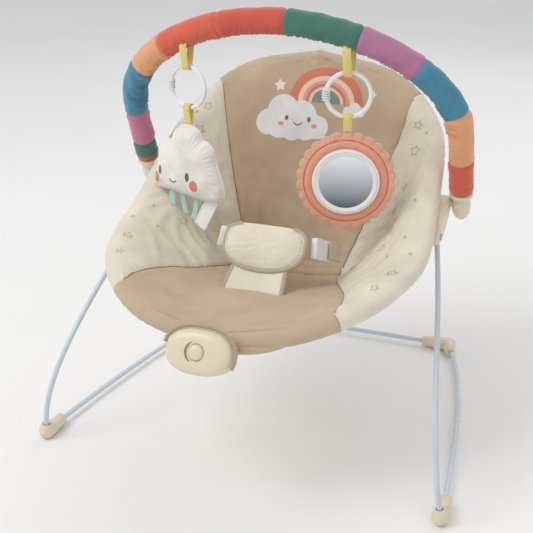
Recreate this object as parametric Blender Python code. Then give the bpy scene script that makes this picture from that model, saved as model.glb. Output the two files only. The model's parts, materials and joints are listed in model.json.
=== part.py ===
"""Baby bouncer seat: wire base, sprung legs, padded seat on two U tubes, toy bar with two hanging toys.

Metres, +Z up, the foot end of the seat faces -Y, and the seat is symmetrical about X = 0.
"""
import math

import bmesh
import bpy
import numpy as np
from mathutils import Matrix, Vector

# ---- driving sizes ----
GAP = 0.0004            # clearance between pieces that touch
FOOTPRINT_SHIFT = 0.0195   # moves the finished seat so that the origin is in the middle of its footprint
WIRE_R = 0.0033          # legs, rails and rear bar
TUBE_R = 0.0065         # the two seat tubes
RAIL_Z = 0.0095         # rail axis above the floor
FOOT = Vector((0.2535, -0.1915, RAIL_Z))     # corner of the right front elbow
REAR = Vector((0.176, 0.2345, RAIL_Z))       # corner of the right rear fitting
LEG_TOP = Vector((0.1925, -0.004, 0.2665))   # end of the right leg, inside the hub
HUB = Vector((0.0, 0.012, 0.284))            # middle of the hub's almond outline
HUB_TILT = math.radians(28)                  # the hub's long axis above the horizontal
HUB_LENGTH = 0.080
HUB_HEIGHT = 0.032
HUB_INNER_X = (0.1675, 0.1858)
HUB_OUTER_X = (0.1862, 0.1985)
PIVOT = Vector((0.2105, 0.043, 0.2975))      # middle of the toy bar's end pod
PIVOT_PIN_R = 0.0052
BAR_RISE = 0.219                             # toy bar's apex above its pivots
BAR_LEAN = 0.080                             # and in front of them
BAR_HALF = 0.2105
BAR_CORE_R = 0.006
SLEEVE_R = 0.0143
COVER_T = 0.006
RING_R = 0.0258                              # ring centreline
RING_TUBE_R = 0.0028
RIBBON_W = 0.0098
RIBBON_T = 0.0009

# Outline of the padded seat from front centre to top centre, right half
OUTLINE = np.array([
    (0.000, -0.2445, 0.1965),
    (0.101, -0.227, 0.217),
    (0.1715, -0.156, 0.240),
    (0.190, -0.053, 0.265),
    (0.187, 0.030, 0.321),
    (0.1665, 0.101, 0.377),
    (0.102, 0.135, 0.428),
    (0.000, 0.135, 0.451),
])
# Middle of the padded seat, paired with the outline's points
SPINE = np.array([
    (0.000, -0.2371, 0.2155),
    (0.000, -0.185, 0.2105),
    (0.000, -0.112, 0.2095),
    (0.000, -0.040, 0.197),
    (0.000, 0.026, 0.188),
    (0.000, 0.072, 0.270),
    (0.000, 0.1080, 0.370),
    (0.000, 0.1130, 0.4495),
])
# How far the padding leans back from level at each of those points, in degrees
LEAN = np.array([(0,), (2,), (10,), (26,), (40,), (52,), (66,), (74,)])
SEAT_MIDDLE = np.array((0.0, -0.03, 0.315))
SIDE_START = 0.20       # where the side panels begin and end along the outline
SIDE_END = 0.79
CREASE = 0.55           # where the seat panel meets the back panel

COLOURS = {
    "cream_plastic": ((0.86, 0.79, 0.66), 0.45, 0.0),
    "white_plastic": ((0.90, 0.90, 0.89), 0.35, 0.0),
    "white_wire": ((0.86, 0.88, 0.91), 0.35, 0.3),
    "steel": ((0.55, 0.56, 0.58), 0.35, 1.0),
    "taupe_fabric": ((0.60, 0.50, 0.41), 0.9, 0.0),
    "cream_fabric": ((0.83, 0.77, 0.65), 0.9, 0.0),
    "webbing": ((0.80, 0.76, 0.70), 0.85, 0.0),
    "sleeve_fabric": ((0.78, 0.36, 0.30), 0.9, 0.0),
    "yellow_ribbon": ((0.88, 0.76, 0.36), 0.6, 0.0),
    "white_padding": ((0.90, 0.89, 0.87), 0.8, 0.0),
    "teal_ribbon": ((0.52, 0.78, 0.76), 0.6, 0.0),
    "white_label": ((0.93, 0.93, 0.92), 0.7, 0.0),
    "coral_felt": ((0.88, 0.48, 0.38), 0.95, 0.0),
    "mirror": ((0.80, 0.82, 0.84), 0.05, 1.0),
    "circuit_board": ((0.10, 0.35, 0.18), 0.5, 0.0),
    "cell_jacket": ((0.12, 0.13, 0.15), 0.4, 0.2),
    "brass": ((0.75, 0.60, 0.30), 0.35, 1.0),
}


# ---- small geometry helpers ----
def start_empty():
    for item in list(bpy.data.objects):
        bpy.data.objects.remove(item, do_unlink=True)


def material(slot):
    found = bpy.data.materials.get(slot)
    if found:
        return found
    colour, roughness, metallic = COLOURS[slot]
    made = bpy.data.materials.new(slot)
    made.use_nodes = True
    shader = made.node_tree.nodes["Principled BSDF"]
    shader.inputs["Base Color"].default_value = (*colour, 1.0)
    shader.inputs["Roughness"].default_value = roughness
    shader.inputs["Metallic"].default_value = metallic
    made.diffuse_color = (*colour, 1.0)
    return made


def add(name, shape, slot, origin=(0, 0, 0), smooth=True):
    """Make a named object from a bmesh in world position, with its origin at the given point."""
    bmesh.ops.recalc_face_normals(shape, faces=shape.faces)
    shape.transform(Matrix.Translation(-Vector(origin)))
    mesh = bpy.data.meshes.new(name)
    shape.to_mesh(mesh)
    shape.free()
    for face in mesh.polygons:
        face.use_smooth = smooth
    item = bpy.data.objects.new(name, mesh)
    item.location = origin
    item.data.materials.append(material(slot))
    bpy.context.scene.collection.objects.link(item)
    return item


def cut(target, name, shape, operation="DIFFERENCE"):
    """Cut a shape out of the target, or join it on, with a hidden operand."""
    bmesh.ops.recalc_face_normals(shape, faces=shape.faces)
    mesh = bpy.data.meshes.new(name)
    shape.to_mesh(mesh)
    shape.free()
    tool = bpy.data.objects.new(name, mesh)
    tool.hide_render = True
    tool.display_type = "WIRE"
    bpy.context.scene.collection.objects.link(tool)
    step = target.modifiers.new(name, "BOOLEAN")
    step.operation = operation
    step.solver = "EXACT"
    step.object = tool


def mirrored(points):
    return [Vector((-p[0], p[1], p[2])) for p in points]


def circle(radius, sides):
    turn = [2 * math.pi * i / sides for i in range(sides)]
    return [(radius * math.cos(a), radius * math.sin(a)) for a in turn]


def strap_section(width, thickness):
    """A flat strap's section with its four corners taken off."""
    half = width / 2
    edge = thickness / 2
    corner = edge * 0.6
    right = [(half, -edge + corner), (half, edge - corner), (half - corner, edge)]
    left = [(-half + corner, edge), (-half, edge - corner), (-half, -edge + corner)]
    return right + left + [(-half + corner, -edge), (half - corner, -edge)]


def tangents(path, closed):
    last = len(path) - 1
    found = []
    for i in range(len(path)):
        before = path[i - 1] if (i > 0 or closed) else path[0]
        after = path[(i + 1) % len(path)] if (i < last or closed) else path[last]
        found.append((after - before).normalized())
    return found


def sweep(path, section, across=None, closed=False, sizes=None):
    """Carry a section along a path. The section's first axis follows `across` if it is given."""
    path = [Vector(p) for p in path]
    heading = tangents(path, closed)
    side = Vector((1, 0, 0)) if abs(heading[0].x) < 0.7 else Vector((0, 0, 1))
    shape = bmesh.new()
    rings = []
    for i, point in enumerate(path):
        if across is not None:
            side = Vector(across[i]) if isinstance(across, list) else Vector(across)
        side = (side - heading[i] * side.dot(heading[i])).normalized()
        other = heading[i].cross(side)
        size = sizes[i] if sizes else 1.0
        rings.append([shape.verts.new(point + side * (a * size) + other * (b * size)) for a, b in section])
    count = len(section)
    pairs = list(zip(rings, rings[1:]))
    if closed:
        pairs.append((rings[-1], rings[0]))
    for low, high in pairs:
        for j in range(count):
            k = (j + 1) % count
            shape.faces.new((low[j], low[k], high[k], high[j]))
    if not closed:
        shape.faces.new(rings[0])
        shape.faces.new(rings[-1])
    return shape


def bezier(a, b, c, d, count):
    points = []
    for i in range(count):
        t = i / (count - 1)
        s = 1 - t
        points.append(a * s ** 3 + b * (3 * s * s * t) + c * (3 * s * t * t) + d * t ** 3)
    return points


def smooth_curve(points, count):
    """Catmull-Rom curve through evenly numbered points, as an array."""
    points = np.asarray(points, float)
    ends = np.vstack([2 * points[0] - points[1], points, 2 * points[-1] - points[-2]])
    result = []
    for u in np.asarray(count):
        place = min(u, 0.999999) * (len(points) - 1)
        i = int(place)
        t = place - i
        p0, p1, p2, p3 = ends[i:i + 4]
        result.append(0.5 * (2 * p1 + (p2 - p0) * t + (2 * p0 - 5 * p1 + 4 * p2 - p3) * t ** 2
                             + (3 * p1 - p0 - 3 * p2 + p3) * t ** 3))
    return np.array(result)


def smooth_outline(points, pieces):
    """Closed Catmull-Rom curve through 2D points."""
    points = np.asarray(points, float)
    count = len(points)
    result = []
    for i in range(count):
        p0, p1, p2, p3 = (points[(i + k - 1) % count] for k in range(4))
        for t in np.arange(pieces) / pieces:
            result.append(tuple(0.5 * (2 * p1 + (p2 - p0) * t + (2 * p0 - 5 * p1 + 4 * p2 - p3) * t ** 2
                                       + (3 * p1 - p0 - 3 * p2 + p3) * t ** 3)))
    return result


def revolve(profile, place, sides):
    """Turn an open (radius, height) profile about local Z; radius 0 at both ends closes it."""
    shape = bmesh.new()
    rings = []
    for radius, height in profile:
        if radius == 0:
            rings.append([shape.verts.new((0, 0, height))])
        else:
            rings.append([shape.verts.new((x, y, height)) for x, y in circle(radius, sides)])
    join_rings(shape, rings, sides)
    shape.transform(place)
    return shape


def revolve_loop(profile, place, sides):
    """Turn a closed (radius, height) profile about local Z into a ring."""
    shape = bmesh.new()
    rings = [[shape.verts.new((x, y, z)) for x, y in circle(r, sides)] for r, z in profile]
    join_rings(shape, rings + [rings[0]], sides)
    shape.transform(place)
    return shape


def join_rings(shape, rings, sides):
    for low, high in zip(rings, rings[1:]):
        for j in range(sides):
            k = (j + 1) % sides
            if len(low) == 1:
                shape.faces.new((low[0], high[k], high[j]))
            elif len(high) == 1:
                shape.faces.new((low[j], low[k], high[0]))
            else:
                shape.faces.new((low[j], low[k], high[k], high[j]))


def slab(outline, levels, place):
    """Stack copies of a 2D outline, each moved inwards by `inset`, at the given heights."""
    outline = np.asarray(outline, float)
    before = np.roll(outline, 1, axis=0)
    after = np.roll(outline, -1, axis=0)
    along = after - before
    along /= np.linalg.norm(along, axis=1)[:, None]
    inward = np.stack([-along[:, 1], along[:, 0]], axis=1)
    shape = bmesh.new()
    rings = []
    for height, inset in levels:
        moved = outline + inward * inset
        rings.append([shape.verts.new((x, y, height)) for x, y in moved])
    for low, high in zip(rings, rings[1:]):
        for j in range(len(outline)):
            k = (j + 1) % len(outline)
            shape.faces.new((low[j], low[k], high[k], high[j]))
    shape.faces.new(rings[0])
    shape.faces.new(rings[-1])
    shape.transform(place)
    return shape


def superellipse(half_x, half_y, power, sides):
    points = []
    for i in range(sides):
        a = 2 * math.pi * i / sides
        c = math.cos(a)
        s = math.sin(a)
        points.append((half_x * math.copysign(abs(c) ** (2 / power), c),
                       half_y * math.copysign(abs(s) ** (2 / power), s)))
    return points


def frame_at(origin, x_axis, y_axis):
    """Matrix whose local X, Y and Z axes are the given directions and their cross product."""
    x = Vector(x_axis).normalized()
    y = Vector(y_axis)
    y = (y - x * y.dot(x)).normalized()
    z = x.cross(y)
    o = Vector(origin)
    return Matrix(((x.x, y.x, z.x, o.x), (x.y, y.y, z.y, o.y), (x.z, y.z, z.z, o.z), (0, 0, 0, 1)))


def facing(origin, direction):
    """Matrix whose local Z points along a direction, for round pieces."""
    z = Vector(direction).normalized()
    x = Vector((1, 0, 0)) if abs(z.x) < 0.7 else Vector((0, 1, 0))
    return frame_at(origin, x - z * x.dot(z), z.cross(x))


def block(place, size, bevel):
    """A box with its upright edges rounded and a small chamfer top and bottom."""
    sx, sy, sz = (value / 2 for value in size)
    return slab(superellipse(sx, sy, 6, 16),
                [(-sz, bevel), (-sz + bevel, 0), (sz - bevel, 0), (sz, bevel)], place)


def both_sides(make):
    for side, sign in (("left", -1), ("right", 1)):
        make(side, sign)


def lengthened(path, extra=0.0008):
    """The same path with both ends moved outwards, for a socket that ends beyond its wire."""
    first = path[0] + (path[0] - path[1]).normalized() * extra
    last = path[-1] + (path[-1] - path[-2]).normalized() * extra
    return [first] + path[1:-1] + [last]


def on_side(points, sign):
    points = [Vector(p) for p in points]
    return points if sign > 0 else mirrored(points)


# ---- wire base and legs ----
RAIL_PATH = bezier(Vector((FOOT.x, FOOT.y + 0.012, RAIL_Z)), Vector((0.2446, -0.086, RAIL_Z)),
                   Vector((0.2281, 0.109, RAIL_Z)), Vector((REAR.x + 0.004, REAR.y - 0.012, RAIL_Z)), 14)
LEG_PATH = bezier(Vector((FOOT.x, FOOT.y, 0.012)), Vector((0.240, -0.2187, 0.1123)),
                  Vector((0.2187, -0.0741, 0.1861)), LEG_TOP, 18)


def elbow(name, corner, end_a, end_b, radius, tip, slot, origin):
    """Two tapered arms that meet in a round corner."""
    def arm(end):
        heading = (end - corner).normalized()
        length = (end - corner).length
        steps = [(-radius, 0.15), (-radius * 0.86, 0.52), (-radius * 0.5, 0.87), (0, 1.0),
                 (length * 0.5, 0.5 + 0.5 * tip / radius), (length - 0.0015, tip / radius),
                 (length, tip / radius * 0.86)]
        path = [corner + heading * along for along, size in steps]
        return sweep(path, circle(radius, 12), sizes=[size for along, size in steps])
    item = add(name, arm(end_a), slot, origin)
    return item, arm(end_b)


def trim_below_floor(item, name, centre):
    floor_box = bmesh.new()
    bmesh.ops.create_cube(floor_box, size=0.12)
    floor_box.transform(Matrix.Translation((centre.x, centre.y, -0.06)))
    cut(item, name, floor_box)


def build_base(side, sign):
    rail = on_side(RAIL_PATH, sign)
    leg = on_side(LEG_PATH, sign)
    foot = on_side([FOOT], sign)[0]
    rear = on_side([REAR], sign)[0]
    add(f"rail_{side}", sweep(rail, circle(WIRE_R, 10)), "white_wire")
    add(f"leg_{side}", sweep(leg, circle(WIRE_R, 10)), "white_wire", (0, FOOT.y, 0.016))

    top = foot + Vector((-0.0008 * sign, -0.0004, 0.0115))
    back = foot + Vector((-0.001 * sign, 0.035, 0))
    item, other = elbow(f"front_foot_{side}", foot, back, top, 0.0100, 0.0078, "cream_plastic", foot)
    # A slight shift keeps faces of the two arms from lying in each other
    other.transform(Matrix.Translation((0.0002 * sign, 0.0003, 0)))
    cut(item, f"front_foot_{side}_arm", other, "UNION")
    trim_below_floor(item, f"front_foot_{side}_floor", foot)
    cut(item, f"front_foot_{side}_rail_hole", sweep(lengthened(rail), circle(WIRE_R + GAP, 12)))
    cut(item, f"front_foot_{side}_leg_hole", sweep(lengthened(leg), circle(WIRE_R + 0.0010, 12)))

    ahead = rear + Vector((0.0065 * sign, -0.025, 0))
    inward = rear + Vector((-0.040 * sign, 0, 0))
    item, other = elbow(f"rear_foot_{side}", rear, ahead, inward, 0.0106, 0.0072, "cream_plastic", rear)
    cut(item, f"rear_foot_{side}_arm", other, "UNION")
    trim_below_floor(item, f"rear_foot_{side}_floor", rear)
    cut(item, f"rear_foot_{side}_rail_hole", sweep(lengthened(rail), circle(WIRE_R + GAP, 12)))
    cut(item, f"rear_foot_{side}_bar_hole", sweep(lengthened(REAR_BAR), circle(WIRE_R + GAP, 12)))


REAR_BAR = [Vector((x, REAR.y, RAIL_Z)) for x in np.linspace(-REAR.x + 0.012, REAR.x - 0.012, 7)]


# ---- seat tubes and hubs ----
def tube_path(start, end, count):
    """Centreline of the seat tube between two places along the outline, right half."""
    outline = smooth_curve(OUTLINE, np.linspace(start, end, count))
    path = []
    for point in outline:
        out = point - SEAT_MIDDLE
        out /= np.linalg.norm(out)
        path.append(Vector(point - out * 0.0100))
    return path


HUB_MEET = 0.512        # where the two tubes stop inside the hub
FRONT_HALF = tube_path(0.0, HUB_MEET, 13)
BACK_HALF = tube_path(1.0, HUB_MEET + 0.02, 12)


def whole_tube(half):
    return mirrored(half[::-1]) + half[1:]


def hub_outline():
    c = math.cos(HUB_TILT)
    s = math.sin(HUB_TILT)
    flat = superellipse(HUB_LENGTH / 2, HUB_HEIGHT / 2, 1.85, 28)
    return [(HUB.y + a * c - b * s, HUB.z + a * s + b * c) for a, b in flat]


def hub_half(side, sign, part, x_range):
    """Almond-shaped moulding; local X is world Y and local Y is world Z, so local Z is world X."""
    near, far = x_range
    round_in, round_out = (0.004, 0.0006) if part == "inner" else (0.0006, 0.004)
    levels = [(near, round_in), (near + round_in, 0), (far - round_out, 0),
              (far - round_out * 0.3, round_out * 0.3), (far, round_out)]
    place = Matrix(((0, 0, sign, 0), (1, 0, 0, 0), (0, 1, 0, 0), (0, 0, 0, 1)))
    return add(f"hub_{part}_{side}", slab(hub_outline(), levels, place), "cream_plastic",
               (sign * (near + far) / 2, HUB.y, HUB.z))


def build_hub(side, sign):
    inner = hub_half(side, sign, "inner", HUB_INNER_X)
    outer = hub_half(side, sign, "outer", HUB_OUTER_X)
    for label, half in (("front", FRONT_HALF), ("back", BACK_HALF)):
        socket = sweep(lengthened(on_side(half[-5:], sign)), circle(TUBE_R + GAP, 14))
        cut(inner, f"hub_{side}_{label}_socket", socket)
    leg = on_side(LEG_PATH[-7:], sign)
    cut(outer, f"hub_{side}_leg_socket", sweep(lengthened(leg), circle(WIRE_R + GAP, 12)))
    pin = revolve([(0, 0.1945), (PIVOT_PIN_R, 0.1945), (PIVOT_PIN_R, 0.2075), (PIVOT_PIN_R - 0.0008, 0.2083),
                   (0, 0.2083)], facing((0, PIVOT.y, PIVOT.z), (sign, 0, 0)), 18)
    cut(outer, f"hub_{side}_pivot_pin", pin, "UNION")

    head_y = HUB.y - 0.024
    head_z = HUB.z - 0.0125
    axis = facing((0, head_y, head_z), (sign, 0, 0))
    screw = [(0, 0.1780), (0.0014, 0.1780), (0.0014, 0.1970), (0.0036, 0.1970), (0.0036, 0.2000),
             (0.0028, 0.2006), (0, 0.2008)]
    hole = [(0, 0.1776), (0.0018, 0.1776), (0.0018, 0.1966), (0.0040, 0.1966), (0.0040, 0.2100), (0, 0.2100)]
    add(f"hub_screw_{side}", revolve(screw, axis, 16), "steel", (sign * 0.19, head_y, head_z))
    cut(inner, f"hub_{side}_screw_hole_inner", revolve(hole, axis, 16))
    cut(outer, f"hub_{side}_screw_hole_outer", revolve(hole, axis, 16))


# ---- padded cover ----
def side_seam(u):
    """How far across, 0 to 1, the seam between a middle panel and a side panel lies."""
    if u <= SIDE_START or u >= SIDE_END:
        return 1.0
    if u < CREASE:
        t = (u - SIDE_START) / (CREASE - SIDE_START)
        return 1.0 + (0.42 - 1.0) * (1 - (1 - t) ** 2.2)
    t = (u - CREASE) / (SIDE_END - CREASE)
    return 0.42 + (1.0 - 0.42) * t ** 1.25


def cover_point(u, w):
    edge = smooth_curve(OUTLINE, [u])[0]
    spine = smooth_curve(SPINE, [u])[0]
    lean = math.radians(smooth_curve(LEAN, [u])[0][0])
    out = edge - SEAT_MIDDLE
    out /= np.linalg.norm(out)
    rim = edge - out * 0.0085 + np.array((0.0, -math.sin(lean), math.cos(lean))) * 0.0152
    blend = abs(w) ** 1.9
    rise = blend * blend * (3 - 2 * blend)
    point = spine + (rim - spine) * rise
    point[0] = rim[0] * w
    return point


def panel(name, slot, rows, low, high, columns):
    """Closed padded panel over some rows along the seat. `low` and `high` give its two edges, each as a
    share of the way across, from the place along the seat."""
    shape = bmesh.new()
    top = []
    bottom = []
    step = 1e-3
    for u in rows:
        top_row = []
        bottom_row = []
        for j in range(columns):
            w = low(u) + (high(u) - low(u)) * j / (columns - 1)
            point = cover_point(u, w)
            along = cover_point(min(u + step, 1), w) - cover_point(max(u - step, 0), w)
            sideways = cover_point(u, w + step) - cover_point(u, w - step)
            normal = np.cross(sideways, along)
            normal /= np.linalg.norm(normal)
            top_row.append(shape.verts.new(point))
            bottom_row.append(shape.verts.new(point - normal * COVER_T))
        top.append(top_row)
        bottom.append(bottom_row)
    last_row = len(rows) - 1
    last_column = columns - 1
    for i in range(last_row):
        for j in range(last_column):
            shape.faces.new((top[i][j], top[i][j + 1], top[i + 1][j + 1], top[i + 1][j]))
            shape.faces.new((bottom[i][j], bottom[i + 1][j], bottom[i + 1][j + 1], bottom[i][j + 1]))
        shape.faces.new((top[i][0], top[i + 1][0], bottom[i + 1][0], bottom[i][0]))
        shape.faces.new((top[i][last_column], bottom[i][last_column],
                         bottom[i + 1][last_column], top[i + 1][last_column]))
    for j in range(last_column):
        shape.faces.new((top[0][j], bottom[0][j], bottom[0][j + 1], top[0][j + 1]))
        shape.faces.new((top[last_row][j], top[last_row][j + 1], bottom[last_row][j + 1], bottom[last_row][j]))
    return add(name, shape, slot)


def build_cover():
    seam_gap = 0.004
    panel("cover_seat", "taupe_fabric", np.linspace(0.012, CREASE - 0.002, 10),
          lambda u: -side_seam(u) + seam_gap, lambda u: side_seam(u) - seam_gap, 9)
    panel("cover_back", "taupe_fabric", np.linspace(CREASE + 0.002, 0.988, 10),
          lambda u: -side_seam(u) + seam_gap, lambda u: side_seam(u) - seam_gap, 9)
    rows = np.linspace(SIDE_START + 0.012, SIDE_END - 0.010, 13)
    panel("cover_side_right", "cream_fabric", rows, lambda u: side_seam(u) + 0.006,
          lambda u: 1.0, 6)
    panel("cover_side_left", "cream_fabric", rows, lambda u: -1.0,
          lambda u: -side_seam(u) - 0.006, 6)


# ---- restraint ----
PAD_CENTRE = Vector((0.0, -0.078, 0.2555))
WAIST_START = Vector((0.0585, -0.068, 0.2580))
WAIST_DIRECTION = Vector((0.25, 0.87, -0.42)).normalized()


def build_restraint():
    up = Vector((0, 0.60, 0.80))
    pad_place = frame_at(PAD_CENTRE, (1, 0, 0), up)
    add("crotch_pad", slab(superellipse(0.052, 0.027, 4, 28),
                           [(-0.007, 0.006), (-0.004, 0.001), (0.0, 0.0), (0.004, 0.001), (0.007, 0.006)],
                           pad_place), "cream_fabric", PAD_CENTRE)
    strap = [Vector((0, -0.1150, 0.2155)), Vector((0, -0.1090, 0.2205)), Vector((0, -0.1010, 0.2265)),
             Vector((0, -0.0935, 0.2320))]
    add("crotch_strap", sweep(strap, strap_section(0.068, 0.004), across=(1, 0, 0)), "cream_fabric", strap[0])


def build_waist(side, sign):
    start = on_side([WAIST_START], sign)[0]
    along = on_side([WAIST_DIRECTION], sign)[0]
    flat = Vector((sign, 0, 0.1))
    flat = (flat - along * flat.dot(along)).normalized()
    wide = flat.cross(along)

    socket_place = frame_at(start + along * 0.0105, along, wide)
    socket = add(f"buckle_socket_{side}", block(socket_place, (0.020, 0.027, 0.0085), 0.0012),
                 "white_plastic", start + along * 0.0105)
    slot_place = frame_at(start + along * 0.0135, along, wide)
    cut(socket, f"buckle_socket_{side}_slot", block(slot_place, (0.021, 0.0208, 0.0046), 0.0002))

    tongue_middle = start + along * 0.0300
    tongue = add(f"buckle_tongue_{side}", block(frame_at(tongue_middle, along, wide), (0.017, 0.026, 0.0060),
                                                0.0010), "white_plastic", tongue_middle)
    cut(tongue, f"buckle_tongue_{side}_prong",
        block(frame_at(start + along * 0.0150, along, wide), (0.0160, 0.0196, 0.0036), 0.0006), "UNION")
    cut(tongue, f"buckle_tongue_{side}_window",
        block(frame_at(start + along * 0.0335, along, wide), (0.0045, 0.0185, 0.0100), 0.0002))

    over = flat * 0.0047
    first = start + along * 0.0300 + over
    path = [first, first + along * 0.010, first + along * 0.018, first + along * 0.026 - flat * 0.0010,
            first + along * 0.033 - flat * 0.0040]
    add(f"waist_strap_{side}", sweep(path, strap_section(0.0200, 0.0016), across=wide), "webbing", first)


# ---- vibration unit ----
UNIT = Vector((0, -0.2655, 0.2035))
UNIT_TILT = math.radians(25)
UNIT_OUT = Vector((0, -math.cos(UNIT_TILT), math.sin(UNIT_TILT)))
UNIT_UP = Vector((0, math.sin(UNIT_TILT), math.cos(UNIT_TILT)))
UNIT_PLACE = frame_at(UNIT, (1, 0, 0), UNIT_UP)
UNIT_HALF_X = 0.0375
UNIT_HALF_Y = 0.0245
UNIT_FRONT = 0.0130
UNIT_BACK = 0.0170
UNIT_WALL = 0.0020
CELL_Y = -0.0105


def unit_point(x, y, z):
    return UNIT_PLACE @ Vector((x, y, z))


def unit_oval(inset, power=2.4, sides=30):
    return superellipse(UNIT_HALF_X - inset, UNIT_HALF_Y - inset, power, sides)


def unit_box(x, y, z, size):
    """A plain box in the unit's own frame, given by its middle."""
    shape = bmesh.new()
    bmesh.ops.create_cube(shape, size=1.0)
    shape.transform(Matrix.Diagonal((*size, 1)))
    shape.transform(UNIT_PLACE @ Matrix.Translation((x, y, z)))
    return shape


def unit_round(profile, x, y, axis):
    """A turned piece in the unit's frame, about a line through (x, y) along a local axis."""
    direction = (UNIT_PLACE.to_3x3() @ Vector(axis)).normalized()
    return revolve(profile, facing(unit_point(x, y, 0), direction), 16)


def build_unit():
    front_levels = [(0.0002, 0.0), (0.006, 0.0), (0.0095, 0.0018), (0.0118, 0.0052), (UNIT_FRONT, 0.0105)]
    front = add("unit_front_shell", slab(unit_oval(0), front_levels, UNIT_PLACE), "cream_plastic", UNIT)
    hollow = [(-0.001, 0.0), (0.0055, 0.0), (0.0085, 0.0018), (0.0100, 0.0048), (UNIT_FRONT - UNIT_WALL, 0.0095)]
    cut(front, "unit_front_hollow", slab(unit_oval(UNIT_WALL), hollow, UNIT_PLACE))
    cut(front, "unit_button_hole", unit_round([(0, 0.005), (0.0094, 0.005), (0.0094, 0.03), (0, 0.03)],
                                              0, 0, (0, 0, 1)))

    back_levels = [(-UNIT_BACK, 0.0035), (-UNIT_BACK + 0.0025, 0.0006), (-0.010, 0.0), (-0.0002, 0.0)]
    back = add("unit_back_shell", slab(unit_oval(0), back_levels, UNIT_PLACE), "cream_plastic", UNIT)
    inside = [(-UNIT_BACK + UNIT_WALL, 0.0015), (-UNIT_BACK + 0.0040, 0.0), (0.001, 0.0)]
    cut(back, "unit_back_hollow", slab(unit_oval(UNIT_WALL), inside, UNIT_PLACE))
    door_size = (0.0540, 0.0160)
    cut(back, "unit_door_opening", unit_box(0, CELL_Y, -UNIT_BACK, (door_size[0], door_size[1], 0.008)))
    add("battery_door", block(UNIT_PLACE @ Matrix.Translation((0, CELL_Y, -UNIT_BACK + 0.0007)),
                              (door_size[0] - 0.001, door_size[1] - 0.001, 0.0016), 0.0003),
        "cream_plastic", unit_point(0, CELL_Y, -UNIT_BACK))

    for side, sign in (("left", -1), ("right", 1)):
        boss_x = sign * 0.0290
        boss_y = 0.0060
        boss = [(0, -0.0120), (0.0030, -0.0120), (0.0030, 0.0095), (0, 0.0095)]
        cut(front, f"unit_boss_{side}", unit_round(boss, boss_x, boss_y, (0, 0, 1)), "UNION")
        hole = [(0, -0.0200), (0.0028, -0.0200), (0.0028, -0.0152), (0.0013, -0.0152), (0.0013, 0.0), (0, 0.0)]
        cut(front, f"unit_front_hole_{side}", unit_round(hole, boss_x, boss_y, (0, 0, 1)))
        wide_hole = [(0, -0.0200), (0.0029, -0.0200), (0.0029, -0.0156), (0.0014, -0.0156), (0.0014, -0.013),
                     (0, -0.013)]
        cut(back, f"unit_back_hole_{side}", unit_round(wide_hole, boss_x, boss_y, (0, 0, 1)))
        screw = [(0, -0.0172), (0.0024, -0.0172), (0.0024, -0.0161), (0.0009, -0.0159), (0.0009, -0.0008),
                 (0, -0.0004)]
        add(f"unit_screw_{side}", unit_round(screw, boss_x, boss_y, (0, 0, 1)), "steel",
            unit_point(boss_x, boss_y, -UNIT_BACK))

    cell = [(0, -0.0252), (0.0070, -0.0252), (0.0071, -0.0245), (0.0071, 0.0232), (0.0066, 0.0238),
            (0.0027, 0.0240), (0.0027, 0.0252), (0, 0.0252)]
    cell_z = -0.0077
    cell_axis = facing(unit_point(0, CELL_Y, cell_z), (1, 0, 0))
    add("battery_cell", revolve(cell, cell_axis, 16), "cell_jacket", unit_point(0, CELL_Y, cell_z))
    for side, sign in (("left", -1), ("right", 1)):
        add(f"battery_contact_{side}", unit_box(sign * 0.0260, CELL_Y, cell_z, (0.0008, 0.0090, 0.0100)),
            "brass", unit_point(sign * 0.026, CELL_Y, cell_z), smooth=False)

    motor_y = 0.0125
    motor_z = -0.0085
    motor_axis = facing(unit_point(0, motor_y, motor_z), (1, 0, 0))
    motor = add("motor", revolve([(0, -0.0180), (0.0050, -0.0180), (0.0056, -0.0172), (0.0056, 0.0018),
                                  (0.0050, 0.0024), (0, 0.0024)], motor_axis, 16),
                "steel", unit_point(0, motor_y, motor_z))
    cut(motor, "motor_shaft_bore", revolve([(0, -0.0060), (0.00105, -0.0060), (0.00105, 0.01), (0, 0.01)],
                                           motor_axis, 16))
    shaft = revolve([(0, -0.0055), (0.0010, -0.0055), (0.0010, 0.0110), (0, 0.0110)], motor_axis, 16)
    weight = add("eccentric_weight", shaft, "brass", unit_point(0, motor_y, motor_z))
    half_disc = [(0.0050 * math.cos(a), 0.0050 * math.sin(a)) for a in np.linspace(math.pi, 2 * math.pi, 13)]
    half_disc += [(0.0022, 0.0012), (-0.0022, 0.0012)]
    cut(weight, "eccentric_half_disc", slab(half_disc, [(0.0040, 0), (0.0100, 0)], motor_axis), "UNION")

    board = add("switch_board", unit_box(0, 0, 0.0008, (0.0260, 0.0110, 0.0010)), "circuit_board",
                unit_point(0, 0, 0.0008), smooth=False)
    cut(board, "switch_body", unit_box(0, 0, 0.0026, (0.0060, 0.0060, 0.0030)), "UNION")
    button = [(0, 0.0062), (0.0084, 0.0062), (0.0088, 0.0072), (0.0088, 0.0138), (0.0078, 0.0152),
              (0.0050, 0.0163), (0, 0.0168)]
    add("unit_button", unit_round(button, 0, 0, (0, 0, 1)), "cream_plastic", unit_point(0, 0, 0.012))

    tube = FRONT_HALF[0]
    arc = []
    for angle in np.linspace(math.radians(172), math.radians(356), 15):
        arc.append(tube + Vector((0, 0.0093 * math.cos(angle), 0.0093 * math.sin(angle))))
    add("unit_clip", sweep(arc, strap_section(0.018, 0.0016), across=(1, 0, 0)), "cream_plastic", tube)


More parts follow.
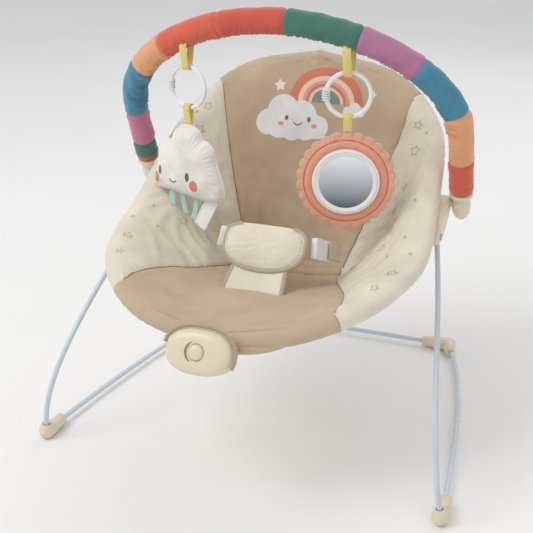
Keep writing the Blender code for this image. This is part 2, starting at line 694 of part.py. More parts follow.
# ---- toy bar ----
def bar_curve(count):
    """Right half of the toy bar from the pivot to the apex, evenly spaced."""
    straight = 0.445
    points = []
    for t in np.linspace(0, 1, 60):
        points.append((BAR_HALF, straight * t))
    for angle in np.linspace(0, math.pi / 2, 120)[1:]:
        points.append((BAR_HALF * math.cos(angle) ** 1.04,
                       straight + (1 - straight) * math.sin(angle) ** 1.04))
    line = np.array([(x, PIVOT.y - BAR_LEAN * v, PIVOT.z + BAR_RISE * v) for x, v in points])
    length = np.r_[0, np.cumsum(np.linalg.norm(np.diff(line, axis=0), axis=1))]
    places = np.linspace(0, length[-1], count)
    return np.stack([np.interp(places, length, line[:, k]) for k in range(3)], axis=1)


def bar_path(count, skip):
    """The whole bar from left to right, leaving out the first `skip` metres at each end."""
    half = bar_curve(count)
    keep = [Vector(p) for p in half if p[2] > PIVOT.z + skip]
    return mirrored(keep) + keep[::-1][1:]


def build_bar():
    core = bar_path(15, 0.004)
    add("toy_bar_core", sweep(core, circle(BAR_CORE_R, 8)), "white_plastic", (0, PIVOT.y, PIVOT.z))
    path = bar_path(15, 0.0185)
    sleeve = add("toy_bar_sleeve", sweep(path, circle(SLEEVE_R, 12)), "sleeve_fabric", (0, PIVOT.y, PIVOT.z))
    longer = [path[0] + (path[0] - path[1]).normalized() * 0.004] + path
    longer.append(path[-1] + (path[-1] - path[-2]).normalized() * 0.004)
    cut(sleeve, "toy_bar_bore", sweep(longer, circle(BAR_CORE_R + 0.0014, 8)))


def build_pod(side, sign):
    """End pod that turns on the hub's pin and flares into a cup under the sleeve."""
    middle = on_side([PIVOT], sign)[0]
    up = Vector((0, -BAR_LEAN, BAR_RISE)).normalized()
    shape = [(0, -0.0165), (0.0060, -0.0155), (0.0095, -0.0120), (0.0107, -0.0060), (0.0108, 0.0090),
             (0.0140, 0.0130), (0.0145, 0.0150), (0.0145, 0.0172), (0.0138, 0.0180), (0, 0.0180)]
    pod = add(f"toy_bar_pod_{side}", revolve(shape, facing(middle, up), 20), "cream_plastic", middle)
    core = on_side(bar_curve(15)[:4], sign)
    core[0] += up * 0.0028
    cut(pod, f"toy_bar_pod_{side}_core_hole", sweep(core, circle(BAR_CORE_R + GAP, 12)))
    bore = [(0, 0.19), (PIVOT_PIN_R + 0.0002, 0.19), (PIVOT_PIN_R + 0.0002, 0.2088), (0, 0.2088)]
    cut(pod, f"toy_bar_pod_{side}_pin_hole", revolve(bore, facing((0, PIVOT.y, PIVOT.z), (sign, 0, 0)), 18))


# ---- hanging toys ----
def bar_at(x):
    """Point and direction of the toy bar where it passes over a given X."""
    half = bar_curve(400)
    i = int(np.argmin(np.abs(half[:, 0] - abs(x)) + (half[:, 2] < PIVOT.z + 0.15)))
    direction = Vector(half[i + 1] - half[i - 1]).normalized()
    if direction.x < 0:
        direction = -direction
    point = Vector(half[i])
    if x < 0:
        point.x = -point.x
        direction = Vector((direction.x, -direction.y, -direction.z))
    return point, direction


def belt(high, high_size, low, low_radius, cross, top_width, bottom_width):
    """Closed loop round an upper oval and a lower circle, in the upright plane along `cross`."""
    path = []
    widths = []
    steps = 7
    for i in range(steps):
        angle = math.pi * i / (steps - 1)
        offset = cross * (high_size[0] * math.cos(angle)) + Vector((0, 0, high_size[1] * math.sin(angle)))
        path.append(high + offset)
        widths.append(top_width)
    for k in (0.45, 0.8):
        path.append(high.lerp(low, k) - cross * (high_size[0] + (low_radius - high_size[0]) * k))
        widths.append(top_width.lerp(bottom_width, k))
    for i in range(steps - 2):
        angle = math.pi + math.pi * i / (steps - 3)
        path.append(low + cross * (low_radius * math.cos(angle)) + Vector((0, 0, low_radius * math.sin(angle))))
        widths.append(bottom_width)
    for k in (0.8, 0.45):
        path.append(high.lerp(low, k) + cross * (high_size[0] + (low_radius - high_size[0]) * k))
        widths.append(top_width.lerp(bottom_width, k))
    return path, widths


def hang_ring(side, x, yaw, ring_z):
    """Ribbon loop over the bar and the ring in it. Returns the ring's centre and the direction across it."""
    bar, direction = bar_at(x)
    width = Vector((math.cos(yaw), math.sin(yaw), 0))
    centre = Vector((x, bar.y, ring_z))
    top = centre + Vector((0, 0, RING_R))
    slope = math.sqrt(1 - direction.z ** 2)
    reach = SLEEVE_R + 0.0017
    path, widths = belt(bar, (reach / 0.96, reach / slope), top, RING_TUBE_R + 0.0026,
                        Vector((0, 1, 0)), direction, Vector((width.x, width.y, 0)))
    add(f"ribbon_loop_{side}", sweep(path, strap_section(RIBBON_W, RIBBON_T), across=widths, closed=True),
        "yellow_ribbon", bar)
    sizes = []
    ring = []
    for i in range(30):
        angle = 2 * math.pi * i / 30
        ring.append(centre + width * (RING_R * math.cos(angle)) + Vector((0, 0, RING_R * math.sin(angle))))
        near_clasp = abs(angle - math.pi) < 0.26
        sizes.append(1.22 if near_clasp else 1.0)
    add(f"ring_{side}", sweep(ring, circle(RING_TUBE_R, 8), closed=True, sizes=sizes), "white_plastic", top)
    return centre, width


def lower_loop(name, centre, width, bottom_z):
    """Ribbon loop round the bottom of a ring and down to the toy."""
    cross = Vector((-width.y, width.x, 0))
    high = centre - Vector((0, 0, RING_R))
    low = Vector((centre.x, centre.y, bottom_z))
    path, widths = belt(high, (RING_TUBE_R + 0.0022, RING_TUBE_R + 0.0022), low, 0.0016, cross, width, width)
    add(name, sweep(path, strap_section(RIBBON_W, RIBBON_T), across=widths, closed=True),
        "yellow_ribbon", centre)


def build_cloud():
    x = -0.118
    centre, width = hang_ring("left", x, math.radians(-13), 0.4300)
    cloud_top = 0.3825
    lower_loop("cloud_loop", centre, width, cloud_top + 0.0035)
    place = frame_at((x, centre.y, cloud_top), width, (0, 0, 1))
    lumps = [(-0.0465, -0.084), (-0.0505, -0.075), (-0.0450, -0.058), (-0.0410, -0.046), (-0.0350, -0.0375),
             (-0.0250, -0.035), (-0.0210, -0.0240), (-0.0150, -0.008), (-0.0060, -0.001), (0.0060, -0.001),
             (0.0170, -0.006), (0.0220, -0.0170), (0.0300, -0.019), (0.0390, -0.028), (0.0420, -0.043),
             (0.0480, -0.060), (0.0520, -0.077), (0.0480, -0.0900), (0.0240, -0.0915), (0.0000, -0.0895),
             (-0.0240, -0.0865)]
    outline = smooth_outline(lumps, 2)[::-1]
    levels = [(-0.0120, 0.0090), (-0.0070, 0.0020), (0.0, 0.0), (0.0070, 0.0020), (0.0120, 0.0090)]
    add("cloud_body", slab(outline, levels, place), "white_padding", centre)
    starts = (-0.0270, -0.0100, 0.0110)
    lengths = (0.014, 0.023, 0.028)
    for number, (across, length) in enumerate(zip(starts, lengths), start=1):
        first = place @ Vector((across, -0.0935, 0.0))
        path = [first - Vector((0, 0, length * k)) for k in (0, 0.35, 0.7, 1.0)]
        add(f"cloud_ribbon_{number}", sweep(path, strap_section(0.0085, 0.0008), across=width),
            "teal_ribbon", centre)
    tag = place @ Vector((0.0310, -0.0935, -0.002))
    path = [tag - Vector((0, 0, 0.034 * k)) for k in (0, 0.33, 0.66, 1.0)]
    add("cloud_tag", sweep(path, strap_section(0.0200, 0.0008), across=width), "white_label", centre)


def build_flower():
    x = 0.086
    centre, width = hang_ring("right", x, math.radians(16), 0.4370)
    middle_z = 0.3345
    felt_r = 0.0580
    lower_loop("flower_loop", centre, width, middle_z + felt_r + 0.0035)
    place = frame_at((x, centre.y, middle_z), width, (0, 0, 1))
    scallops = 25
    outline = []
    for i in range(scallops * 2):
        angle = 2 * math.pi * i / (scallops * 2)
        radius = felt_r - 0.0022 + 0.0022 * math.cos(scallops * angle)
        outline.append((radius * math.cos(angle), radius * math.sin(angle)))
    add("flower_felt", slab(outline, [(-0.0035, 0), (0.0035, 0)], place),
        "coral_felt", centre)
    bezel = [(0.0330, 0.0039), (0.0394, 0.0039), (0.0400, 0.0050), (0.0394, 0.0068), (0.0371, 0.0080),
             (0.0337, 0.0074), (0.0318, 0.0064), (0.0318, 0.0058), (0.0330, 0.0058)]
    add("mirror_bezel", revolve_loop(bezel, place, 32), "white_plastic", centre)
    add("mirror_plate", revolve([(0, 0.0040), (0.0326, 0.0040), (0.0326, 0.0054), (0, 0.0054)], place, 32),
        "mirror", centre)


# ---- assembly ----
start_empty()
both_sides(build_base)
add("rear_bar", sweep(REAR_BAR, circle(WIRE_R, 10)), "white_wire")
add("seat_front_tube", sweep(whole_tube(FRONT_HALF), circle(TUBE_R, 10)), "steel")
add("seat_back_tube", sweep(whole_tube(BACK_HALF), circle(TUBE_R, 10)), "steel")
both_sides(build_hub)
build_cover()
build_restraint()
both_sides(build_waist)
build_unit()
build_bar()
both_sides(build_pod)
build_cloud()
build_flower()
for placed in bpy.data.objects:
    placed.location.y += FOOTPRINT_SHIFT
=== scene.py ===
"""Looks of the baby bouncer seat: padded cover, straps, sleeve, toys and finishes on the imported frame.

Metres, +Z up. The seated child faces -Y, and +X is on the right seen from the front.
"""
import json
import math

import bmesh
import bpy
import numpy as np
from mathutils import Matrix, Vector
from mathutils.bvhtree import BVHTree


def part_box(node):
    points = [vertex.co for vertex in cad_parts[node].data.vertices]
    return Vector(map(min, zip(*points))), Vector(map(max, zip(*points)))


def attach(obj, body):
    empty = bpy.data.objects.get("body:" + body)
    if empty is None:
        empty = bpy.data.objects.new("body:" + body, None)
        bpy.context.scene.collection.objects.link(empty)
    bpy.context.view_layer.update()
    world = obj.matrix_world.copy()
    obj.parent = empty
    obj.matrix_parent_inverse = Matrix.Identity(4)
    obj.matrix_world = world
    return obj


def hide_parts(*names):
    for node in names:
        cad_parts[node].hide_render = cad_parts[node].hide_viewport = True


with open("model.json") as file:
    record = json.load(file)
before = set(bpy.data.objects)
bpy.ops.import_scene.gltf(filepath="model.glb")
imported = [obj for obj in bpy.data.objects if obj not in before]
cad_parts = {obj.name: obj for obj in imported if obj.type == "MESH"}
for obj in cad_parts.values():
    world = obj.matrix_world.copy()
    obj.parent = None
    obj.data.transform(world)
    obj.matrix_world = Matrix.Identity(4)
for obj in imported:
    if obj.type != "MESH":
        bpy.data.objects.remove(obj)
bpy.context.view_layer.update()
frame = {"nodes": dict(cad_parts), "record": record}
NODES = frame["nodes"]

# ---- driving sizes, as in the frame ----
SHIFT = np.array((0.0, 0.0195, 0.0))    # from the seat's own origin to the middle of the footprint
TUBE_INSET = 0.0100                     # seat tube's centreline inside the outline
ROLL_R = 0.0108                         # fabric rolled round the seat tubes
PAD_T = 0.0075                          # thickness of the padding
PAD_EDGE_T = 0.0030                     # and where it thins out at the tube
SIDE_START = 0.20                       # side panels begin and end here along the outline
SIDE_END = 0.79
CREASE = 0.55                           # where the seat panel meets the back panel
SEAM_AT_CREASE = 0.38                   # how far across the side seams lie there
LOWER_BULGE = 0.0065                    # the rolled edge is fuller in front of the hubs
SEAT_MIDDLE = np.array((0.0, -0.03, 0.315))
# right half of the seat's outline, from the front centre to the top centre
OUTLINE = np.array([(0.000, -0.2445, 0.1965), (0.101, -0.227, 0.217), (0.1715, -0.156, 0.240),
                    (0.190, -0.053, 0.265), (0.187, 0.030, 0.321), (0.1665, 0.101, 0.377),
                    (0.102, 0.135, 0.428), (0.000, 0.135, 0.451)])
# the middle line of the seat and the back, from front to top
SPINE = np.array([(0.000, -0.2371, 0.2155), (0.000, -0.185, 0.2105), (0.000, -0.112, 0.2095),
                  (0.000, -0.040, 0.197), (0.000, 0.026, 0.188), (0.000, 0.072, 0.270),
                  (0.000, 0.1080, 0.370), (0.000, 0.1130, 0.4495)])
# degrees that the rim of the padding leans at each point of the outline
LEAN = np.array([(0,), (2,), (10,), (26,), (40,), (52,), (66,), (74,)])
HUB = Vector((0.190, 0.0315, 0.284))    # middle of the right hub
PIVOT = np.array((0.2105, 0.043, 0.2975))
BAR_HALF = 0.2105                       # half the width of the toy bar
BAR_RISE = 0.219                        # height of the bar's top above its pivots
BAR_LEAN = 0.080                        # and how far it leans forward there
BAR_POINTS = 1401
SLEEVE_R = 0.0143
SLEEVE_START = 0.0185                   # height of the sleeve's hems above the pivots
CLOUD_PLACE = (-0.118, 0.3825)          # x and z of each toy's own origin
FLOWER_PLACE = (0.086, 0.3345)
RING_R = 0.0258
RING_WIRE_R = 0.0042
SIDES = (("left", -1), ("right", 1))
PRINT_LIFTS = (0.00025, 0.0005, 0.0008)  # three layers of print, one over another
RANDOM = np.random.default_rng(7)


# ---- materials ----
def colour(red, green, blue):
    """Linear colour from the everyday 0 to 255 scale."""
    found = []
    for value in (red, green, blue):
        part = value / 255
        found.append(part / 12.92 if part <= 0.04045 else ((part + 0.055) / 1.055) ** 2.4)
    return (*found, 1.0)


def scaled(tint, factor):
    return (*(min(1.0, channel * factor) for channel in tint[:3]), 1.0)


def grey(value):
    return (value, value, value, 1.0)


class Nodes:
    """Short way to add and link shader nodes in one material."""

    def __init__(self, name):
        self.material = bpy.data.materials.new(name)
        self.material.use_nodes = True
        self.tree = self.material.node_tree
        self.shader = self.tree.nodes["Principled BSDF"]
        self.place = self.add("ShaderNodeTexCoord").outputs["Object"]

    def add(self, kind, **values):
        node = self.tree.nodes.new(kind)
        for key, value in values.items():
            setattr(node, key, value)
        return node

    def link(self, start, end):
        self.tree.links.new(start, end)

    def noise(self, scale, detail=3.0, stretch=None):
        source = self.place
        if stretch:
            mapping = self.add("ShaderNodeMapping")
            mapping.inputs["Scale"].default_value = stretch
            self.link(source, mapping.inputs["Vector"])
            source = mapping.outputs["Vector"]
        node = self.add("ShaderNodeTexNoise")
        node.inputs["Scale"].default_value = scale
        node.inputs["Detail"].default_value = detail
        self.link(source, node.inputs["Vector"])
        return node.outputs["Fac"]

    def maths(self, operation, first, second=None):
        node = self.add("ShaderNodeMath", operation=operation)
        for slot, value in enumerate((first, second)):
            if value is None:
                continue
            if isinstance(value, (int, float)):
                node.inputs[slot].default_value = value
            else:
                self.link(value, node.inputs[slot])
        return node.outputs[0]

    def between(self, factor, low, high, low_stop=0.3, high_stop=0.7):
        ramp = self.add("ShaderNodeValToRGB")
        ramp.color_ramp.elements[0].position = low_stop
        ramp.color_ramp.elements[1].position = high_stop
        ramp.color_ramp.elements[0].color = low
        ramp.color_ramp.elements[1].color = high
        self.link(factor, ramp.inputs["Fac"])
        return ramp.outputs["Color"]

    def threads(self, pitch):
        """Height of a plain weave: fine ridges along all three axes, so that it shows on any slope."""
        split = self.add("ShaderNodeSeparateXYZ")
        self.link(self.place, split.inputs[0])
        turns = 2 * math.pi / pitch
        waves = [self.maths("SINE", self.maths("MULTIPLY", axis, turns)) for axis in split.outputs]
        total = self.maths("ADD", self.maths("ADD", waves[0], waves[1]), waves[2])
        return self.maths("MULTIPLY_ADD", total, 0.16)

    def bump(self, height, strength, distance):
        node = self.add("ShaderNodeBump")
        node.inputs["Strength"].default_value = strength
        node.inputs["Distance"].default_value = distance
        self.link(height, node.inputs["Height"])
        self.link(node.outputs["Normal"], self.shader.inputs["Normal"])

    def paint(self, tint):
        self.link(tint, self.shader.inputs["Base Color"])

    def surface(self, **values):
        for key, value in values.items():
            self.shader.inputs[key.replace("_", " ")].default_value = value
        return self.material


def cloth(name, tint, pitch=0.0009, strength=0.35, mottle=0.07, sheen=0.25, flecks=0.0):
    """Woven or felted cloth with slow colour drift, a fine weave and a soft sheen."""
    made = Nodes(name)
    drift = made.noise(28.0, 4.0)
    base = made.between(drift, scaled(tint, 1 - mottle), scaled(tint, 1 + mottle))
    weave = made.threads(pitch)
    fuzz = made.noise(1400.0, 2.0)
    mix = made.add("ShaderNodeMix", data_type="RGBA", blend_type="MULTIPLY")
    mix.inputs[0].default_value = 1.0
    made.link(base, mix.inputs[6])
    grain = made.between(made.maths("ADD", weave, fuzz), grey(1 - mottle - flecks), grey(1.0), 0.25, 0.7)
    made.link(grain, mix.inputs[7])
    made.paint(mix.outputs[2])
    made.bump(made.maths("ADD", weave, fuzz), strength, 0.0003)
    return made.surface(Roughness=0.92, Sheen_Weight=sheen, Sheen_Roughness=0.5)


def webbing(name, tint):
    """Ribbed strap: raised threads every 1.2 mm and darker gaps."""
    made = Nodes(name)
    ribs = made.threads(0.0012)
    base = made.between(ribs, scaled(tint, 0.82), scaled(tint, 1.05), 0.2, 0.8)
    made.paint(base)
    made.bump(made.maths("ADD", ribs, made.noise(900.0, 2.0)), 0.6, 0.0004)
    return made.surface(Roughness=0.85, Sheen_Weight=0.2)


def plastic(name, tint, roughness=0.38, coat=0.25):
    """Moulded plastic with a faint grain and uneven gloss."""
    made = Nodes(name)
    base = made.between(made.noise(18.0, 3.0), scaled(tint, 0.96), scaled(tint, 1.03))
    made.paint(base)
    gloss = made.between(made.noise(60.0, 3.0), grey(roughness - 0.06), grey(roughness + 0.08))
    made.link(gloss, made.shader.inputs["Roughness"])
    made.bump(made.noise(900.0, 2.0), 0.06, 0.0002)
    return made.surface(Coat_Weight=coat, Coat_Roughness=0.25)


def metal(name, tint, roughness=0.3):
    """Bare metal with a faint grain and fine wear marks."""
    made = Nodes(name)
    base = made.between(made.noise(40.0, 5.0), scaled(tint, 0.93), scaled(tint, 1.04))
    made.paint(base)
    gloss = made.between(made.noise(220.0, 4.0, (1, 1, 0.2)), grey(roughness * 0.8), grey(roughness * 1.3))
    made.link(gloss, made.shader.inputs["Roughness"])
    made.bump(made.noise(500.0, 3.0), 0.08, 0.0002)
    return made.surface(Metallic=1.0, Coat_Weight=0.3, Coat_Roughness=0.2)


def mirror_painted_reflection(name, low_z, high_z):
    """Silvered film with a painted reflection: light grey at the top, shading to dark slate towards its lower
    edge.
    """
    made = Nodes(name)
    split = made.add("ShaderNodeSeparateXYZ")
    made.link(made.place, split.inputs[0])
    height = made.maths("DIVIDE", made.maths("SUBTRACT", split.outputs[2], low_z), high_z - low_z)
    wavy = made.maths("ADD", height, made.maths("MULTIPLY", made.noise(30.0, 2.0), 0.08))
    # painted reflection: colour runs by height from dark slate at the bottom to light grey at the top
    base = made.between(wavy, colour(92, 104, 112), colour(238, 241, 244), 0.08, 1.0)
    made.paint(base)
    made.bump(made.noise(25.0, 2.0), 0.05, 0.002)
    return made.surface(Metallic=0.85, Roughness=0.14)


TAUPE = cloth("taupe_cloth", colour(194, 173, 146), sheen=0.2)
CREAM = cloth("cream_cloth", colour(226, 219, 200), sheen=0.2)
PIPING = cloth("seam_thread_brown", colour(142, 112, 82), pitch=0.0006)
BINDING = webbing("binding_tape", colour(190, 176, 154))
STRAP = webbing("strap_webbing", colour(204, 194, 176))
THREAD = cloth("stitch_thread", colour(232, 224, 208), pitch=0.0005)
TAN_PRINT = cloth("tan_print", colour(196, 180, 150))
CLOUD_PRINT = cloth("cloud_print", colour(232, 233, 234))
BROWN_PRINT = cloth("brown_print", colour(128, 108, 84))
CORAL_PRINT = cloth("coral_print", colour(214, 128, 104))
PEACH_PRINT = cloth("peach_print", colour(240, 210, 188))
PINK_PRINT = cloth("pink_print", colour(226, 164, 150))
TEAL_PRINT = cloth("teal_print", colour(122, 152, 144))
STAR_PRINT = cloth("star_print", colour(240, 231, 212))
YELLOW_RIBBON = webbing("yellow_grosgrain", colour(236, 216, 128))
TEAL_RIBBON = cloth("teal_satin", colour(178, 216, 212), pitch=0.0007, sheen=0.5)
LABEL = cloth("label_satin", colour(240, 240, 238), pitch=0.0006, mottle=0.03)
PADDING = cloth("cloud_plush", colour(232, 230, 224), pitch=0.0011, strength=0.5)
FELT = cloth("coral_felt_outer", colour(232, 168, 144), 0.0016, 0.9, mottle=0.09, flecks=0.16)
FELT_INNER = cloth("coral_felt_inner", colour(234, 160, 134), 0.0016, 0.9, mottle=0.08, flecks=0.12)
FELT_SEAM = cloth("felt_seam_thread", colour(186, 112, 90), pitch=0.0006)
FELT_EDGE = cloth("backing_felt", colour(240, 214, 196), pitch=0.0016, strength=0.9)
CREAM_PLASTIC = plastic("cream_moulding", colour(226, 213, 188))
WHITE_PLASTIC = plastic("white_moulding", colour(234, 236, 236), 0.3, 0.4)
# Brown that stands in for shade: painted shade round the hub caps and a painted shadow beside the unit's
# switch.
PAINTED_SHADE_PLASTIC = plastic("painted_recess_shade", colour(150, 128, 100), 0.6, 0.0)
# White enamel wire coloured the bluish grey of its shaded look: painted shade over a white finish.
WHITE_WIRE = plastic("white_enamel_wire", colour(200, 210, 220), 0.30, 0.5)
STEEL = metal("bright_steel", colour(190, 192, 196))
BRASS = metal("spring_brass", colour(212, 178, 108))
BOARD = plastic("green_board", colour(60, 120, 80), 0.5, 0.3)
CELL = plastic("cell_wrap", colour(70, 74, 80), 0.35, 0.5)
SLEEVE_TINTS = {
    "coral": colour(212, 96, 72), "red": colour(204, 86, 70), "green": colour(66, 118, 102),
    "pink": colour(192, 116, 146), "mauve": colour(172, 114, 148), "blue": colour(70, 134, 162),
    "peach": colour(226, 162, 120),
}
SLEEVE_CLOTHS = {
    key: cloth(f"sleeve_{key}", tint, mottle=0.08, sheen=0.35) for key, tint in SLEEVE_TINTS.items()
}


# ---- shape helpers ----
def unit_rows(vectors):
    return vectors / np.maximum(np.linalg.norm(vectors, axis=-1, keepdims=True), 1e-12)


def square_to(vectors, heading):
    """Unit vectors at right angles to the headings, as near as can be to those given."""
    return unit_rows(vectors - heading * (vectors * heading).sum(axis=-1, keepdims=True))


def bell(value, middle, width):
    """Smooth bump: 1 at the middle, about a third at one width from it."""
    return np.exp(-((value - middle) / width) ** 2)


def swelling(value, width, power):
    """Smooth rise from 0 towards 1."""
    return 1 - np.exp(-(value / width) ** power)


def quarter_round(distance, radius):
    """Height of a rounded edge, 0 at the edge and 1 from one radius inwards."""
    return np.sqrt(np.clip(1 - (1 - np.clip(distance / radius, 0, 1)) ** 2, 0, 1))


def catmull(p0, p1, p2, p3, t):
    """Point between p1 and p2 on a Catmull-Rom curve."""
    return 0.5 * (2 * p1 + (p2 - p0) * t + (2 * p0 - 5 * p1 + 4 * p2 - p3) * t ** 2
                  + (3 * p1 - p0 - 3 * p2 + p3) * t ** 3)


def curve_at(points, places):
    """Catmull-Rom curve through evenly numbered points, read at places from 0 to 1."""
    points = np.asarray(points, float)
    ends = np.vstack([2 * points[0] - points[1], points, 2 * points[-1] - points[-2]])
    along = np.clip(np.asarray(places, float), 0, 0.999999) * (len(points) - 1)
    low = along.astype(int)
    t = (along - low)[..., None]
    return catmull(*(ends[low + k] for k in range(4)), t)


def resampled(points, count, closed=False):
    points = np.asarray(points, float)
    if closed:
        points = np.vstack([points, points[:1]])
    length = np.r_[0, np.cumsum(np.linalg.norm(np.diff(points, axis=0), axis=1))]
    places = np.linspace(0, length[-1], count + 1)[:-1] if closed else np.linspace(0, length[-1], count)
    return np.stack([np.interp(places, length, points[:, k]) for k in range(points.shape[1])], axis=1)


class Ripple:
    """Smooth random field made from a few waves, the same every time."""

    def __init__(self, scales, waves=9):
        scales = np.asarray(scales, float)
        shape = (waves, len(scales))
        self.turns = RANDOM.uniform(0.5, 1.5, shape) * RANDOM.choice((-1, 1), shape)
        self.turns = self.turns * 2 * math.pi / scales
        self.phase = RANDOM.uniform(0, 2 * math.pi, waves)

    def __call__(self, *where):
        where = np.stack(np.broadcast_arrays(*where), axis=-1)
        return np.sin(where @ self.turns.T + self.phase).mean(axis=-1) * 1.8


def fold(value):
    """Turn a smooth field into soft ridges with sharper valleys."""
    return 1 - np.sqrt(np.abs(value) + 0.02)


def make(name, points, faces, materials, body, replaces=(), face_slots=None, sharp=None):
    """One visible piece that rides on a body."""
    mesh = bpy.data.meshes.new(name)
    mesh.from_pydata([tuple(p) for p in points], [], [tuple(f) for f in faces])
    for item in materials if isinstance(materials, (list, tuple)) else [materials]:
        mesh.materials.append(item)
    if face_slots is not None:
        mesh.polygons.foreach_set("material_index", np.asarray(face_slots, np.int32))
    tidy = bmesh.new()
    tidy.from_mesh(mesh)
    bmesh.ops.remove_doubles(tidy, verts=tidy.verts, dist=1e-6)
    bmesh.ops.recalc_face_normals(tidy, faces=tidy.faces)
    tidy.to_mesh(mesh)
    tidy.free()
    mesh.polygons.foreach_set("use_smooth", [True] * len(mesh.polygons))
    if sharp:
        mesh.set_sharp_from_angle(angle=math.radians(sharp))
    piece = bpy.data.objects.new(name, mesh)
    bpy.context.scene.collection.objects.link(piece)
    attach(piece, body)
    if replaces:
        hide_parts(*replaces)
    return piece


def grid_faces(rows, columns, close_rows=False, close_columns=False, start=0):
    faces = []
    for i in range(rows if close_rows else rows - 1):
        for j in range(columns if close_columns else columns - 1):
            a = start + i * columns + j
            b = start + i * columns + (j + 1) % columns
            c = start + ((i + 1) % rows) * columns + (j + 1) % columns
            d = start + ((i + 1) % rows) * columns + j
            faces.append((a, b, c, d))
    return faces


def along_path(path, closed=False):
    """Unit directions along a path."""
    path = np.asarray(path, float)
    if closed:
        return unit_rows(np.roll(path, -1, axis=0) - np.roll(path, 1, axis=0))
    return unit_rows(np.gradient(path, axis=0))


def swept(path, section, across=None, closed=False, sizes=None):
    """Points and faces of a section carried along a path; the section's first axis follows `across`."""
    path = np.asarray(path, float)
    section = np.asarray(section, float)
    heading = along_path(path, closed)
    if across is None:
        across = (0, 0, 1) if abs(heading[0][2]) < 0.7 else (1, 0, 0)
    side = square_to(np.asarray(across, float), heading)
    other = np.cross(heading, side)
    sizes = np.ones(len(path)) if sizes is None else np.asarray(sizes, float)
    if section.ndim == 2:
        section = np.broadcast_to(section, (len(path), *section.shape))
    flat = section * sizes[:, None, None]
    points = path[:, None] + side[:, None] * flat[..., :1] + other[:, None] * flat[..., 1:]
    count = section.shape[1]
    faces = grid_faces(len(path), count, close_rows=closed, close_columns=True)
    points = points.reshape(-1, 3)
    if not closed:
        faces.append(tuple(range(count)))
        faces.append(tuple(len(points) - count + k for k in range(count)))
    return points, faces


def once_round(count):
    """Evenly spaced angles of one whole turn."""
    return np.arange(count) * 2 * math.pi / count


def oval(half_x, half_y, sides):
    turn = once_round(sides)
    return np.stack([half_x * np.cos(turn), half_y * np.sin(turn)], axis=1)


def round_section(radius, sides):
    return oval(radius, radius, sides)


def arc(start, end, count):
    """Points of a unit circle between two angles in degrees."""
    angle = np.linspace(math.radians(start), math.radians(end), count)
    return np.stack([np.cos(angle), np.sin(angle)], axis=1)


def raised(flat, height):
    """2D points at one local height."""
    return np.column_stack([flat, np.full(len(flat), height)])


def pinched(outline):
    """The outline shrunk nearly to its middle, so that a patch between the two is filled."""
    middle = outline.mean(axis=0)
    return middle + (outline - middle) * 0.02


def strap_section(width, thickness, columns=9, crown=0.0):
    """Flat strap with rounded edges, several points across so that it can wrinkle."""
    half = width / 2 - thickness / 2
    across = np.linspace(-half, half, columns)
    rise = crown * (1 - (across / half) ** 2)
    top = np.stack([across, rise + thickness / 2], axis=1)
    bottom = np.stack([across[::-1], rise[::-1] - thickness / 2], axis=1)
    edge = half + thickness * 0.43
    low = thickness * 0.25
    return np.vstack([top, [(edge, low), (edge, -low)], bottom, [(-edge, -low), (-edge, low)]])


def place_at(origin, x_axis, y_axis):
    """Function that takes local points to the frame; local Z is the cross product of X and Y."""
    x = unit_rows(np.asarray(x_axis, float))
    y = square_to(np.asarray(y_axis, float), x)
    z = np.cross(x, y)
    origin = np.asarray(origin, float)
    return lambda points: origin + np.asarray(points, float) @ np.stack([x, y, z])


def edge_distance(points, outline):
    """Distance of 2D points from a closed outline."""
    best = np.full(len(points), 1e9)
    for a, b in zip(outline, np.roll(outline, -1, axis=0)):
        span = b - a
        t = np.clip(((points - a) @ span) / (span @ span), 0, 1)
        best = np.minimum(best, np.linalg.norm(points - (a + t[:, None] * span), axis=1))
    return best


def filled_rings(outline, centre, rings):
    """Copies of an outline shrunk towards a centre, from the centre outwards."""
    share = np.sin(np.linspace(0.02, 1, rings) * math.pi / 2)
    return centre + share[:, None, None] * (outline - centre)[None]


def puffed(outline, centre, rings, front, back):
    """Closed crowned form; `front` and `back` give heights from local points and their edge distance."""
    layers = filled_rings(outline, centre, rings)
    flat = layers.reshape(-1, 2)
    distance = edge_distance(flat, outline)
    top = np.column_stack([flat, front(flat, distance)])
    low = np.column_stack([flat, back(flat, distance)])
    count = len(outline)
    faces = grid_faces(rings, count, close_columns=True)
    faces.append(tuple(range(count)))
    total = rings * count
    faces += [tuple(total + k for k in face) for face in faces]
    rim = total - count
    for j in range(count):
        k = (j + 1) % count
        faces.append((rim + j, rim + k, total + rim + k, total + rim + j))
    return np.vstack([top, low]), faces


def tree_of(piece):
    mesh = piece.data
    return BVHTree.FromPolygons([v.co for v in mesh.vertices], [p.vertices for p in mesh.polygons])


def seated(points, tree, towards, lift):
    """Drop points onto a piece along a direction and lift them off its surface."""
    towards = Vector(towards).normalized()
    found = []
    for point in points:
        start = Vector(point) - towards * 0.10
        place, normal, *_ = tree.ray_cast(start, towards)
        if place is None:
            place, normal, *_ = tree.find_nearest(Vector(point))
        if normal.dot(towards) > 0:
            normal = -normal
        found.append(tuple(place + normal * lift))
    return np.array(found)


def patch(name, inner, outer, steps, to_frame, tree, towards, material, body, closed=True, lift=0.0003):
    """Thin printed or embroidered shape between two outlines, laid on a surface."""
    inner = np.broadcast_to(np.asarray(inner, float), np.asarray(outer).shape)
    outer = np.asarray(outer, float)
    share = np.linspace(0, 1, steps)[:, None, None]
    rows = inner[None] + (outer - inner)[None] * share
    top = seated(to_frame(raised(rows.reshape(-1, 2), 0.0)), tree, towards, lift)
    return make(name, top, grid_faces(steps, len(outer), close_columns=closed), material, body)


def disc_outline(x, y, radius_x, radius_y, sides=28):
    return oval(radius_x, radius_y, sides) + (x, y)


def star_outline(x, y, radius, turn=0.0, points=5, pieces=4):
    corners = []
    for i in range(points * 2):
        angle = math.pi / 2 + turn + math.pi * i / points
        size = radius if i % 2 == 0 else radius * 0.52
        corners.append((x + size * math.cos(angle), y + size * math.sin(angle)))
    return resampled(corners, points * 2 * pieces, closed=True)


